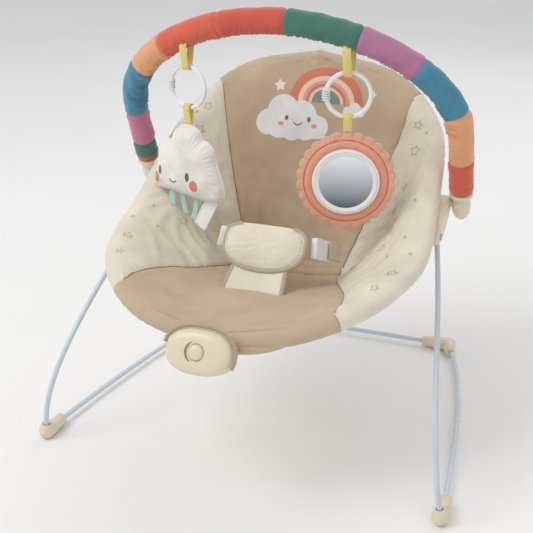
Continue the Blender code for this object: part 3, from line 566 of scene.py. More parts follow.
def lobed_outline(lobes, sides=96):
    """Outline of a union of circles (x, y, radius) seen from their middle, flat below y = 0."""
    found = []
    for angle in np.linspace(0, 2 * math.pi, sides, endpoint=False):
        heading = np.array((math.cos(angle), math.sin(angle)))
        reach = 0.0
        for x, y, radius in lobes:
            middle = np.array((x, y))
            near = heading @ middle
            under = radius ** 2 - (middle @ middle - near ** 2)
            if under > 0:
                reach = max(reach, near + math.sqrt(under))
        found.append(heading * reach)
    return np.array(found)


def stitches(name, path, body, length=0.0026, pitch=0.0042, radius=0.00035, material=THREAD):
    """Row of short raised stitches along a path."""
    path = np.asarray(path, float)
    travelled = np.r_[0, np.cumsum(np.linalg.norm(np.diff(path, axis=0), axis=1))]
    points = []
    faces = []
    for start in np.arange(0, travelled[-1] - length, pitch):
        places = start + np.array((0, 0.2, 0.5, 0.8, 1.0)) * length
        bit = np.stack([np.interp(places, travelled, path[:, k]) for k in range(3)], axis=1)
        more, more_faces = swept(bit, round_section(radius, 6), sizes=(0.35, 0.9, 1.0, 0.9, 0.35))
        faces += [tuple(len(points) + k for k in face) for face in more_faces]
        points += list(more)
    return make(name, points, faces, material, body)


# ---- padded cover ----
def side_seam(u):
    """How far across, 0 to 1, the seam between a middle panel and a side panel lies."""
    u = np.asarray(u, float)
    low = np.clip((u - SIDE_START) / (CREASE - SIDE_START), 0, 1)
    high = np.clip((u - CREASE) / (SIDE_END - CREASE), 0, 1)
    side_share = 1 - SEAM_AT_CREASE
    front = 1.0 - side_share * (1 - (1 - low) ** 2.2)
    back = SEAM_AT_CREASE + side_share * high ** 1.8
    return np.where(u < CREASE, front, back)


def rim_frames(u):
    """Tube centre, the direction off the padding's face and the outward direction, on the right side."""
    def centre(places):
        edge = curve_at(OUTLINE, places)
        bulge = LOWER_BULGE * bell(places, 0.40, 0.065)
        return edge - unit_rows(edge - SEAT_MIDDLE) * (TUBE_INSET - bulge)[..., None]
    step = 2e-3
    heading = unit_rows(centre(np.minimum(u + step, 1)) - centre(np.maximum(u - step, 0)))
    tips = bell(np.minimum(u, 1 - u), 0, 0.045)[..., None]
    across = np.where(u[..., None] < 0.5, 1.0, -1.0) * np.array((1.0, 0, 0))
    heading = unit_rows(heading * (1 - tips) + across * tips)
    lean = np.radians(curve_at(LEAN, u)[..., 0])
    up = np.stack([np.zeros_like(lean), -np.sin(lean), np.cos(lean)], axis=-1)
    up = square_to(up, heading)
    out = np.cross(heading, up)
    return centre(u), up, out


def cover_sheet(u, w):
    """Top face of the padding: u from the front centre to the top centre, w from -1 to 1 across.
    Beyond 1, w is a turn round the seat tube in radians plus 1."""
    side = np.where(w < 0, -1.0, 1.0)
    reach = np.abs(w)
    inside = np.minimum(reach, 1.0)
    turn = np.maximum(reach - 1.0, 0.0)
    tube, up, out = rim_frames(u)
    rim = tube + up * ROLL_R
    spine = curve_at(SPINE, u)
    for end in (0.0, 1.0):
        end_tube, end_up, _ = rim_frames(np.array([end]))
        shift = end_tube[0] + end_up[0] * ROLL_R - curve_at(SPINE, np.array([end]))[0]
        spine = spine + shift * bell(u, end, 0.06)[..., None]
    blend = inside ** 1.9
    rise = (blend * blend * (3 - 2 * blend))[..., None]
    point = spine + (rim - spine) * rise
    point[..., 0] = rim[..., 0] * inside
    wrapped = tube + ROLL_R * (up * np.cos(turn)[..., None] + out * np.sin(turn)[..., None])
    point = np.where((reach > 1.0)[..., None], wrapped, point)
    point[..., 0] *= side
    return point + SHIFT


BROAD = Ripple((0.10, 0.12, 0.11))
FINE = Ripple((0.034, 0.040, 0.036))
TUCKS = Ripple((0.016, 0.045))
RADIAL = Ripple((0.62, 0.13))
UPRIGHT = Ripple((0.042, 0.22))
LEVEL = Ripple((0.26, 0.030))
GATHER = Ripple((0.011, 0.9))
ALONG = 0.62            # rough length of one side of the outline, from front to top


def padding_height(u, w, point):
    """How far the filled, wrinkled fabric stands off the plain sheet."""
    reach = np.abs(w)
    half = np.maximum(curve_at(OUTLINE, u)[..., 0], 0.02)
    to_seam = np.abs(reach - side_seam(u)) * half
    to_seam = np.where((u < SIDE_START) | (u > SIDE_END), 1.0, to_seam)
    to_crease = np.where(reach < side_seam(u), np.abs(u - CREASE) * ALONG, 1.0)
    to_rim = np.maximum(1.0 - reach, 0.0) * half
    near = np.minimum(np.minimum(to_seam, to_crease), 0.2)
    puff = 0.0036 * swelling(near, 0.016, 1.5) - 0.0016 * bell(near, 0, 0.004)
    puff = puff * swelling(to_rim, 0.020, 1.4)
    side = np.sign(w)
    tucks = 0.0010 * np.exp(-near / 0.020) * TUCKS(u * ALONG + side * 0.3, near)
    tucks = tucks + 0.0007 * bell(to_rim, 0.010, 0.012) * TUCKS(u * ALONG + side * 1.7, to_rim)
    hub_y = point[..., 1] - HUB.y
    hub_z = point[..., 2] - HUB.z
    away = np.hypot(hub_y, hub_z)
    angle = np.arctan2(hub_z, hub_y)
    wing = (reach > side_seam(u)) * 1.0
    pulled = 0.0068 * np.exp(-away / 0.13) * fold(RADIAL(angle + side * 2.0, away)) * (0.25 + 0.75 * wing)
    lower_back = bell(u, 0.645, 0.07) * (1 - wing)
    hanging = 0.0052 * lower_back * fold(UPRIGHT(point[..., 0], point[..., 2]))
    sat_in = 0.0034 * bell(u, CREASE, 0.05) * fold(LEVEL(point[..., 0], u * ALONG))
    general = 0.0011 * BROAD(point[..., 0], point[..., 1], point[..., 2])
    general = general + 0.0005 * FINE(point[..., 0], point[..., 1], point[..., 2])
    turned = np.clip(reach - 1.0, 0, 1)
    gathers = 0.0005 * GATHER(u * ALONG + side * 0.5, reach * 0.1) * turned
    inside = np.clip((1.0 - reach) / 0.05, 0, 1)
    return puff + tucks * inside + (pulled + hanging + sat_in + general) * inside + gathers


def sheet_and_normals(u, w):
    """Points of the plain sheet and the directions off its face."""
    step_u = cover_sheet(np.minimum(u + 1e-3, 1), w) - cover_sheet(np.maximum(u - 1e-3, 0), w)
    step_w = cover_sheet(u, w + 1e-3) - cover_sheet(u, w - 1e-3)
    return cover_sheet(u, w), unit_rows(np.cross(step_w, step_u))


def cover_panel(name, u_places, spans, fabric, node):
    """Padded panel. `spans` gives each row its list of places across, all of one length."""
    w = np.array(spans)
    count = w.shape[1]
    u = np.repeat(np.asarray(u_places, float)[:, None], count, axis=1)
    sheet, normal = sheet_and_normals(u, w)
    thin = np.clip(np.abs(w) - 0.93, 0, 0.07) / 0.07
    depth = PAD_T * (1 - thin) + PAD_EDGE_T * thin
    top = sheet + normal * padding_height(u, w, sheet)[..., None]
    low = sheet - normal * depth[..., None]
    total = len(u_places) * count
    faces = grid_faces(len(u_places), count)
    faces += [tuple(total + k for k in face) for face in faces]
    last = total - count
    for j in range(count - 1):
        faces.append((j, j + 1, total + j + 1, total + j))
        faces.append((last + j, last + j + 1, total + last + j + 1, total + last + j))
    for i in range(len(u_places) - 1):
        for j in (0, count - 1):
            a = i * count + j
            faces.append((a, a + count, total + a + count, total + a))
    points = np.vstack([top.reshape(-1, 3), low.reshape(-1, 3)])
    piece = make(name, points, faces, fabric, "seat", [node])
    return piece


WRAP = math.radians(232)     # how far the fabric goes round the tubes
ACROSS = 93                  # points across a middle panel
ACROSS_SIDE = 34             # and across a side panel
ROUND_TUBE = 12              # and round the tube


def middle_spans(places):
    """Rows of a middle panel, which goes round the tube only where there is no side panel."""
    spans = []
    quarter = math.pi / 2 * 0.92
    for u in places:
        edge = float(side_seam(u))
        plain = np.sin(np.linspace(-1, 1, ACROSS) * quarter) / math.sin(quarter) * edge
        right = np.full(ROUND_TUBE, edge)
        if u <= SIDE_START or u >= SIDE_END:
            right = 1.0 + np.linspace(0, 1, ROUND_TUBE + 1)[1:] * WRAP
        spans.append(np.r_[-right[::-1], plain, right])
    return spans


def side_spans(places, sign):
    spans = []
    turn = 1.0 + np.linspace(0, 1, ROUND_TUBE + 1)[1:] * WRAP
    for u in places:
        span = np.r_[np.linspace(float(side_seam(u)), 1, ACROSS_SIDE), turn]
        spans.append(span if sign > 0 else -span[::-1])
    return spans


def build_cover():
    pieces = {}
    seat_rows = np.r_[0, np.linspace(0.004, SIDE_START, 34), np.linspace(SIDE_START + 0.0005, CREASE, 66)]
    back_rows = np.r_[np.linspace(CREASE, SIDE_END - 0.0005, 52), np.linspace(SIDE_END, 0.996, 32), 1.0]
    for part, rows in (("seat", seat_rows), ("back", back_rows)):
        pieces[part] = cover_panel(f"cover_{part}_fabric", rows, middle_spans(rows), TAUPE,
                                   f"cover_{part}")
    rows = np.linspace(SIDE_START, SIDE_END, 120)
    for side, sign in SIDES:
        pieces[side] = cover_panel(f"cover_side_fabric_{side}", rows, side_spans(rows, sign), CREAM,
                                   f"cover_side_{side}")
    return pieces


def cover_line(u, w):
    """Points on the finished face of the cover along a line of places."""
    sheet, normal = sheet_and_normals(u, w)
    return sheet + normal * (padding_height(u, w, sheet)[..., None] + 0.0001)


def build_seams():
    for side, sign in SIDES:
        places = np.linspace(SIDE_START + 0.004, SIDE_END - 0.004, 160)
        line = cover_line(places, sign * side_seam(places))
        points, faces = swept(line, round_section(0.00055, 6))
        make(f"side_seam_{side}", points, faces, PIPING, "seat")
    across = np.linspace(-SEAM_AT_CREASE, SEAM_AT_CREASE, 90)
    line = cover_line(np.full(90, CREASE), across)
    points, faces = swept(line, round_section(0.0007, 6), across=(0, 0, 1))
    make("crease_seam", points, faces, PIPING, "seat")


# ---- prints ----
def upright_plane(points):
    """Print coordinates (across, height) to the frame, in front of the back panel."""
    return np.column_stack([points[:, 0], np.full(len(points), 0.10), points[:, 1]])


def build_back_print(back):
    tree = tree_of(back)
    towards = (0, 1, 0)

    def shape(name, inner, outer, steps, material, closed=True, lift=PRINT_LIFTS[0]):
        patch(name, inner, outer, steps, upright_plane, tree, towards, material, "seat", closed, lift)

    def filled(name, outline, material, lift=PRINT_LIFTS[0]):
        shape(name, pinched(outline), outline, 14, material, lift=lift)

    arch = arc(0, 180, 60) * (1.0, 0.90)
    middle = np.array((0.0145, 0.3905))
    bands = [(0.0500, 0.0385, CORAL_PRINT), (0.0385, 0.0320, PEACH_PRINT), (0.0320, 0.0275, PINK_PRINT),
             (0.0275, 0.0235, CORAL_PRINT), (0.0235, 0.0195, PEACH_PRINT), (0.0195, 0.0010, TEAL_PRINT)]
    for number, (far, near, material) in enumerate(bands, start=1):
        steps = 12 if number == len(bands) else 5
        shape(f"print_rainbow_{number}", middle + arch * near, middle + arch * far, steps, material,
              closed=False)

    big = np.array((-0.0285, 0.3650))
    big_lobes = [(-0.034, -0.004, 0.0165), (-0.014, 0.010, 0.0225), (0.012, 0.006, 0.0205),
                 (0.034, -0.006, 0.0150), (0.0, -0.008, 0.0175), (-0.018, -0.008, 0.016),
                 (0.018, -0.009, 0.015)]
    filled("print_cloud", big + lobed_outline(big_lobes), CLOUD_PRINT, PRINT_LIFTS[1])
    small = np.array((0.0530, 0.3835))
    small_lobes = [(-0.0085, -0.001, 0.0062), (0.001, 0.002, 0.0085), (0.0095, -0.001, 0.0060)]
    filled("print_small_cloud", small + lobed_outline(small_lobes), CLOUD_PRINT, PRINT_LIFTS[1])
    for side, x in (("left", -0.0375), ("right", -0.0065)):
        filled(f"print_eye_{side}", disc_outline(x, 0.3680, 0.0022, 0.0034), BROWN_PRINT, PRINT_LIFTS[2])
    for side, x in (("left", -0.0450), ("right", 0.0010)):
        filled(f"print_cheek_{side}", disc_outline(x, 0.3600, 0.0040, 0.0026), PINK_PRINT, PRINT_LIFTS[2])
    smile = arc(205, 335, 18)
    mouth = np.array((-0.0215, 0.3660))
    shape("print_smile", mouth + smile * 0.0052, mouth + smile * 0.0066, 2, BROWN_PRINT, closed=False,
          lift=PRINT_LIFTS[2])
    filled("print_star_left", star_outline(-0.0500, 0.4085, 0.0088, 0.12), STAR_PRINT)
    filled("print_star_right", star_outline(0.0765, 0.4060, 0.0060, -0.2), STAR_PRINT)


def build_side_prints(pieces):
    """Sparse star outlines and dots on the side panels, placed along and across the cover."""
    stars = [(0.665, 0.88, 0.0085), (0.595, 0.84, 0.0075), (0.345, 0.93, 0.0080), (0.720, 0.92, 0.0065),
             (0.475, 0.74, 0.0065), (0.290, 0.95, 0.0055)]
    dots = [(0.530, 0.93, 0.0022), (0.560, 0.72, 0.0022), (0.450, 0.90, 0.0022), (0.400, 0.96, 0.0020),
            (0.630, 0.72, 0.0022), (0.690, 0.95, 0.0020), (0.500, 0.60, 0.0022), (0.410, 0.82, 0.0020)]
    for side, sign in SIDES:
        tree = tree_of(pieces[side])
        for kind, marks in (("star", stars), ("dot", dots)):
            for number, (u, w, size) in enumerate(marks, start=1):
                here = np.array([u])
                middle = cover_sheet(here, np.array([sign * w]))[0]
                ahead = cover_sheet(here + 0.01, np.array([sign * w]))[0] - middle
                sideways = cover_sheet(here, np.array([sign * w + 0.01]))[0] - middle
                normal = unit_rows(np.cross(sideways, ahead))
                local = place_at(middle, sideways, ahead)
                if kind == "star":
                    outer = star_outline(0, 0, size, turn=0.4 * number)
                    inner = outer * 0.72
                    steps = 3
                else:
                    outer = round_section(size, 14)
                    inner = outer * 0.02
                    steps = 5
                patch(f"print_{kind}_{side}_{number}", inner, outer, steps, local, tree, tuple(-normal),
                      TAN_PRINT, "seat")


# ---- restraint ----
PAD_CENTRE = np.array((0.0, -0.078, 0.2555)) + SHIFT
PAD_UP = (0.0, 0.60, 0.80)
PAD_CREASE = Ripple((0.080, 0.021))


def pad_outline(half_x=0.0520, half_y=0.0270, sides=120):
    """Flatter along the top and rounded below."""
    turn = once_round(sides)
    c = np.cos(turn)
    s = np.sin(turn)
    power = np.where(s > 0, 4.2, 2.3)
    x = half_x * np.sign(c) * np.abs(c) ** (2 / power)
    y = half_y * np.sign(s) * np.abs(s) ** (2 / power)
    y = np.where(s > 0, y, y * 1.12)
    return np.stack([x, y], axis=1)


def build_crotch_pad():
    outline = pad_outline()
    local = place_at(PAD_CENTRE, (1, 0, 0), PAD_UP)

    def front(flat, distance):
        crown = 0.0092 * swelling(distance, 0.010, 1.3) + 0.0012
        crease = 0.0015 * fold(PAD_CREASE(flat[:, 0] + flat[:, 1] * 0.6, flat[:, 1] - flat[:, 0] * 0.5))
        return crown - crease * np.clip(distance / 0.012, 0, 1)

    def back(flat, distance):
        return -0.0012 - 0.0055 * swelling(distance, 0.010, 1.3)

    points, faces = puffed(outline, np.zeros(2), 26, front, back)
    pad = make("crotch_pad_cushion", local(points), faces, CREAM, "seat", ["crotch_pad"])

    angle = np.degrees(np.arctan2(outline[:, 1], outline[:, 0]))
    bound = outline[(angle < 38) | (angle > 142)]
    start = np.argmin(np.where(bound[:, 0] < 0, -bound[:, 1], 9))
    bound = resampled(np.roll(bound, -start, axis=0), 110)
    path = raised(bound * 0.975, 0.0)
    radial = unit_rows(np.cross(along_path(path), (0, 0, 1)))
    points, faces = swept(path, oval(0.0030, 0.0032, 14), across=radial)
    make("crotch_pad_binding", local(points), faces, BINDING, "seat")
    inner = raised(bound * 0.895, 0.0)
    line = seated(local(inner), tree_of(pad), tuple(-np.cross((1, 0, 0), PAD_UP)), 0.0002)
    stitches("crotch_pad_topstitch", line, "seat", material=BINDING)


TAPE_SECTION = [(0.0032, 0.0), (0.0024, 0.0022), (0, 0.0031), (-0.0024, 0.0022),
                (-0.0032, 0), (-0.0024, -0.0022), (0, -0.0031), (0.0024, -0.0022)]


def build_crotch_strap():
    """Padded tongue of fabric that comes up from the seat to the pad, bound along both sides."""
    path = np.array([(0, -0.1205, 0.2085), (0, -0.1150, 0.2150), (0, -0.1080, 0.2215), (0, -0.1000, 0.2275),
                     (0, -0.0925, 0.2330), (0, -0.0850, 0.2410)]) + SHIFT
    path = resampled(curve_at(path, np.linspace(0, 1, 40)), 26)
    widths = np.linspace(0.0740, 0.0640, len(path))
    sections = np.array([strap_section(width, 0.0045, 25, 0.0022) for width in widths])
    points, faces = swept(path, sections, across=(1, 0, 0))
    strap = make("crotch_strap_fabric", points, faces, CREAM, "seat", ["crotch_strap"])
    for side, sign in SIDES:
        edge = path + np.array((1.0, 0, 0)) * (sign * widths / 2)[:, None]
        points, faces = swept(edge, TAPE_SECTION, across=(1, 0, 0))
        make(f"crotch_strap_binding_{side}", points, faces, BINDING, "seat")


def build_waist(side, sign):
    """Webbing from the buckle to the side seam. The left one hangs in a slack V."""
    start = np.array((0.0585 * sign, -0.068, 0.2580)) + SHIFT
    along = unit_rows(np.array((0.25 * sign, 0.87, -0.42)))
    flat = square_to(np.array((1.0, 0, 0.1)), along)
    wide = np.cross(flat, along)
    first = start + along * 0.030 + flat * 0.0047
    if side == "right":
        route = np.array([first, first + along * 0.012, first + along * 0.024 - flat * 0.001,
                          first + along * 0.034 - flat * 0.005])
    else:
        near = start + flat * 0.0064
        route = np.array([near - along * 0.006, near + along * 0.010, near + along * 0.028 - wide * 0.001,
                          near + along * 0.052 - flat * 0.001 - wide * 0.003,
                          near + along * 0.063 - flat * 0.010 - wide * 0.004])
    path = resampled(curve_at(route, np.linspace(0, 1, 30)), 24)
    width = 0.0200 if side == "right" else 0.0285
    points, faces = swept(path, strap_section(width, 0.0016, 9), across=wide)
    make(f"waist_webbing_{side}", points, faces, STRAP, "seat", [f"waist_strap_{side}"])
    for row, offset in enumerate((-0.0078, 0.0078), start=1):
        line = path + np.asarray(wide) * offset + flat * 0.0009
        stitches(f"waist_stitch_{side}_{row}", line, "seat")


# ---- toy bar sleeve ----
def bar_line(count):
    """Centreline of the whole bar from left to right."""
    straight = 0.445
    turn = np.linspace(0, math.pi / 2, 120)[1:]
    half = [(BAR_HALF, straight * t) for t in np.linspace(0, 1, 60)]
    half += [(BAR_HALF * math.cos(a) ** 1.04, straight + (1 - straight) * math.sin(a) ** 1.04) for a in turn]
    right = np.array([(x, PIVOT[1] - BAR_LEAN * v, PIVOT[2] + BAR_RISE * v) for x, v in half])
    left = right * np.array((-1, 1, 1))
    return resampled(np.vstack([left, right[::-1][1:]]), count) + SHIFT


SLEEVE_BANDS = [(0.0335, "coral"), (0.062, "green"), (0.122, "pink"), (0.220, "blue"), (0.287, "peach"),
                (0.403, "coral"), (0.515, "red"), (0.633, "green"), (0.732, "mauve"), (0.827, "blue"),
                (0.915, "peach"), (1.0, "coral")]


def build_sleeve():
    whole = bar_line(BAR_POINTS)
    share = np.linspace(0, 1, BAR_POINTS)
    above = whole[:, 2] > PIVOT[2] + SLEEVE_START
    path = whole[above][::2]
    share = share[above][::2]
    rows = len(path)
    sides = 40
    heading = along_path(path)
    bend = np.gradient(heading, axis=0)
    inward = unit_rows(bend)
    curving = np.linalg.norm(bend, axis=1)
    curving = curving / curving.max()
    normal = square_to(unit_rows(np.array((0, -1.0, -BAR_LEAN / BAR_RISE))), heading)
    other = np.cross(heading, normal)
    turn = once_round(sides)
    ring = normal[:, None] * np.cos(turn)[None, :, None] + other[:, None] * np.sin(turn)[None, :, None]
    facing_in = (ring * inward[:, None]).sum(axis=2)
    length = np.linalg.norm(np.diff(path, axis=0), axis=1).sum()
    travel = (share - share[0]) / (share[-1] - share[0]) * length
    puckers = Ripple((0.0105, 2.2))
    slack = Ripple((0.030, 3.0))
    slanted = travel[:, None] + 0.006 * np.sin(turn[None])
    gather = fold(puckers(slanted, turn[None])) * np.clip(0.35 + 0.75 * facing_in, 0.12, 1)
    amount = 0.0024 + 0.0032 * curving[:, None]
    radius = SLEEVE_R + amount * gather + 0.0006 * slack(travel[:, None], turn[None])
    ends = [stop for stop, name in SLEEVE_BANDS[:-1]]
    nearest = np.min([np.abs(share - stop) for stop in ends], axis=0) * length
    radius = radius - 0.0013 * bell(nearest, 0, 0.0018)[:, None]
    radius = radius + 0.0005 * bell(nearest, 0.005, 0.004)[:, None]
    lip = np.minimum(travel, length - travel)
    radius = radius * (0.62 + 0.38 * quarter_round(lip, 0.005))[:, None]
    radius = radius - 0.0009 * bell(lip, 0.012, 0.0016)[:, None]
    points = (path[:, None] + ring * radius[..., None]).reshape(-1, 3)
    faces = grid_faces(rows, sides, close_columns=True)
    names = sorted(SLEEVE_CLOTHS)
    slots = []
    for i in range(rows - 1):
        middle = (share[i] + share[i + 1]) / 2
        name = next(label for stop, label in SLEEVE_BANDS if middle <= stop)
        slots += [names.index(name)] * sides
    for first in (0, len(points) - sides):
        faces.append(tuple(first + k for k in range(sides)))
        slots.append(names.index("coral"))
    sleeve = make("toy_bar_sleeve_fabric", points, faces, [SLEEVE_CLOTHS[name] for name in names], "toy_bar",
                  ["toy_bar_sleeve"], face_slots=slots)


# ---- hanging toys ----
def ribbon_from(node, name, body, material, bar=None):
    """Ribbon loop on the frame's own path. One sewn to the toy bar goes in under the sleeve at `bar`."""
    source = NODES[node].data
    work = bmesh.new()
    work.from_mesh(source)
    bmesh.ops.remove_doubles(work, verts=work.verts, dist=1e-5)
    bmesh.ops.subdivide_edges(work, edges=work.edges, cuts=1, use_grid_fill=True)
    points = np.array([NODES[node].matrix_world @ v.co for v in work.verts])
    faces = [tuple(v.index for v in f.verts) for f in work.faces]
    work.free()
    if bar is not None:
        offset = points[:, 1:] - bar[1:]
        tucked = np.clip((offset[:, 1] + 0.0150) / 0.0070, 0, 1)[:, None]
        inner = offset * np.minimum(0.0105 / np.linalg.norm(offset, axis=1), 1)[:, None]
        points[:, 1:] = bar[1:] + offset * (1 - tucked) + inner * tucked
    return make(name, points, faces, material, body, [node], sharp=50)


CLOUD_YAW = math.radians(-13)
CLOUD_CLEARANCE = 0.004                 # keeps the filled cloud off the side panel behind it
CLOUD_SIDES = 240
CLOUD_TRIM_POINTS = CLOUD_SIDES * 3     # enough for a pinked tooth every eight points
FLOWER_YAW = math.radians(16)
FLOWER_SEAM_R = 0.0496


def toy_place(x, y, z, yaw):
    return place_at((x, y, z), (math.cos(yaw), math.sin(yaw), 0), (0, 0, 1))


def closed_curve(points, count):
    """Closed Catmull-Rom curve through 2D points, evenly spaced."""
    points = np.asarray(points, float)
    wrapped = np.vstack([points[-1:], points, points[:2]])
    found = []
    for i in range(len(points)):
        p0, p1, p2, p3 = wrapped[i:i + 4]
        found += [catmull(p0, p1, p2, p3, t) for t in np.linspace(0, 1, 12, endpoint=False)]
    return resampled(found, count, closed=True)


def build_cloud():
    low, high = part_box("cloud_body")
    middle_y = (low.y + high.y) / 2 - CLOUD_CLEARANCE
    local = toy_place(CLOUD_PLACE[0], middle_y, CLOUD_PLACE[1], CLOUD_YAW)
    lumps = [(-0.0485, -0.085), (-0.0520, -0.075), (-0.0485, -0.060), (-0.0455, -0.046), (-0.0430, -0.0330),
             (-0.0350, -0.0225), (-0.0235, -0.0215), (-0.0190, -0.009), (-0.0070, -0.001), (0.0060, -0.001),
             (0.0170, -0.006), (0.0220, -0.0170), (0.0300, -0.019), (0.0390, -0.028), (0.0420, -0.043),
             (0.0480, -0.060), (0.0520, -0.077), (0.0480, -0.0900), (0.0240, -0.0915), (0.0000, -0.0895),
             (-0.0240, -0.0865)]
    outline = closed_curve(lumps, CLOUD_SIDES)
    centre = np.array((0.0, -0.052))
    travel = np.arange(CLOUD_SIDES) / CLOUD_SIDES * 0.36
    tucks = Ripple((0.0090,))
    soft = Ripple((0.040, 0.040))
    wrinkles = Ripple((0.018, 0.022))

    def bulge(flat, distance, height):
        dome = height * quarter_round(distance, 0.024)
        around = np.tile(travel, len(flat) // CLOUD_SIDES)
        gathers = 0.0008 * tucks(around) * bell(distance, 0.004, 0.005)
        loose = 0.0013 * soft(flat[:, 0], flat[:, 1]) + 0.0004 * fold(wrinkles(flat[:, 0], flat[:, 1]))
        return dome + gathers + loose * np.clip(distance / 0.01, 0, 1)

    points, faces = puffed(outline, centre, 34, lambda p, d: 0.0004 + bulge(p, d, 0.0155),
                           lambda p, d: -0.0004 - bulge(p, d, 0.0098))
    body = make("cloud_cushion", local(points), faces, PADDING, "cloud_toy", ["cloud_body"])

    tangent = unit_rows(np.roll(outline, -1, axis=0) - np.roll(outline, 1, axis=0))
    outward = np.stack([tangent[:, 1], -tangent[:, 0]], axis=1)
    if ((outward * (outline - centre)).sum(axis=1)).mean() < 0:
        outward = -outward
    fine = resampled(outline, CLOUD_TRIM_POINTS, closed=True)
    fine_out = unit_rows(resampled(outline + outward * 0.01, CLOUD_TRIM_POINTS, closed=True) - fine)
    teeth = np.abs((np.arange(CLOUD_TRIM_POINTS) % 8) / 4 - 1)
    edge = fine + fine_out * (0.0010 + 0.0014 * teeth)[:, None]
    inner = fine - fine_out * 0.004
    rings = [raised(inner, -0.0020), raised(edge, -0.0020), raised(edge, -0.0010), raised(inner, -0.0010)]
    faces = grid_faces(len(rings), CLOUD_TRIM_POINTS, close_rows=True, close_columns=True)
    make("cloud_pinked_edge", local(np.vstack(rings)), faces, LABEL, "cloud_toy", sharp=40)

    tree = tree_of(body)
    towards = tuple(-np.array((math.sin(CLOUD_YAW), -math.cos(CLOUD_YAW), 0)))

    def sewn(name, inner_shape, outer_shape, steps, material, closed=True):
        patch(name, inner_shape, outer_shape, steps, local, tree, towards, material, "cloud_toy", closed,
              0.0005)

    for side, x, z in (("left", -0.0340, -0.0580), ("right", 0.0090, -0.0610)):
        eye = disc_outline(x, z, 0.0026, 0.0058)
        sewn(f"cloud_eye_{side}", pinched(eye), eye, 8, BROWN_PRINT)
    for side, x, z, half_x in (("left", -0.0415, -0.0690, 0.0046), ("right", 0.0185, -0.0710, 0.0062)):
        cheek = disc_outline(x, z, half_x, 0.0068)
        sewn(f"cloud_cheek_{side}", pinched(cheek), cheek, 8, CORAL_PRINT)
    smile = arc(200, 325, 16)
    mouth = np.array((-0.0135, -0.0650))
    sewn("cloud_smile", mouth + smile * 0.0050, mouth + smile * 0.0064, 3, BROWN_PRINT, closed=False)

    trims = [(-0.0270, 0.014, 0.05), (-0.0100, 0.023, 0.08), (0.0110, 0.028, -0.25)]
    for number, (across, length, slant) in enumerate(trims, start=1):
        down = np.linspace(-0.006, length, 26)
        curl = 0.0004 * np.sin(down / 0.0030 * 2 * math.pi) + 0.0016 * np.sin(down / 0.030 * 3 + number)
        path = np.column_stack([across + slant * down, -0.0930 - down, curl])
        points, faces = swept(path, strap_section(0.0088, 0.0008, 5), across=(1, slant, 0.15 * number - 0.2))
        make(f"cloud_trim_{number}", local(points), faces, TEAL_RIBBON, "cloud_toy",
             [f"cloud_ribbon_{number}"])
    down = np.linspace(-0.006, 0.034, 26)
    path = np.column_stack([0.0330 - 0.42 * down, -0.0925 - down, -0.002 + 0.22 * np.maximum(down, 0)])
    points, faces = swept(path, strap_section(0.0205, 0.0008, 11, 0.0008), across=(1, -0.42, 0.15))
    tag = make("care_tag_blank", local(points), faces, LABEL, "cloud_toy", ["cloud_tag"])
    border = path[6:-1]
    lines = [border + np.array((sign * 0.0076, sign * -0.0032, 0.0012)) for sign in (-1, 1)]
    foot = np.array([lines[0][-1], lines[1][-1]])
    around = local(np.vstack([lines[0], foot, lines[1][::-1]]))
    stitches("care_tag_border", around, "cloud_toy", 0.0016, 0.0022, 0.00022, BINDING)
    ribbon_from("cloud_loop", "cloud_loop_ribbon", "cloud_toy", YELLOW_RIBBON)


def build_flower():
    low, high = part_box("flower_felt")
    middle_y = (low.y + high.y) / 2
    local = toy_place(FLOWER_PLACE[0], middle_y, FLOWER_PLACE[1], FLOWER_YAW)
    scallops = 26
    sides = scallops * 16
    turn = once_round(sides)
    lobes = np.abs(np.sin(turn * scallops / 2)) ** 0.7

    def petals(radius, depth):
        size = radius - depth + depth * lobes
        return np.stack([size * np.cos(turn), size * np.sin(turn)], axis=1)

    rough = Ripple((0.016, 0.016))

    def front(flat, distance):
        from_middle = np.hypot(flat[:, 0], flat[:, 1])
        soft = 0.0011 * swelling(distance, 0.002, 1.5)
        ring = 0.0014 * bell(from_middle, 0.0448, 0.0035)
        groove = -0.0012 * bell(from_middle, FLOWER_SEAM_R, 0.0008)
        return 0.0020 + soft + ring + groove + 0.0002 * rough(flat[:, 0], flat[:, 1])

    def back(flat, distance):
        return np.full(len(flat), 0.0004)

    points, faces = puffed(petals(0.0582, 0.0036), np.zeros(2), 60, front, back)
    radii = np.hypot(points[:, 0], points[:, 1])
    slots = [1 if radii[list(face)].mean() < FLOWER_SEAM_R else 0 for face in faces]
    felt = make("flower_front_felt", local(points), faces, [FELT, FELT_INNER], "flower_toy",
                ["flower_felt"], face_slots=slots)
    points, faces = puffed(petals(0.0590, 0.0034), np.zeros(2), 12, lambda p, d: np.full(len(p), -0.0002),
                           lambda p, d: -0.0030 + 0.0008 * np.exp(-d / 0.003))
    rear = make("flower_backing_felt", local(points), faces, FELT_EDGE, "flower_toy", sharp=50)

    circle = arc(0, 360, 200)
    seam = raised(circle[:-1] * FLOWER_SEAM_R, 0.0026)
    points, faces = swept(seam, round_section(0.0004, 6), across=(0, 0, 1), closed=True)
    make("flower_seam", local(points), faces, FELT_SEAM, "flower_toy")
    stitches("mirror_bezel_stitches", local(raised(circle * 0.0368, 0.0081)), "flower_toy", 0.0019, 0.0033,
             0.0003, BINDING)
    ribbon_from("flower_loop", "flower_loop_ribbon", "flower_toy", YELLOW_RIBBON)


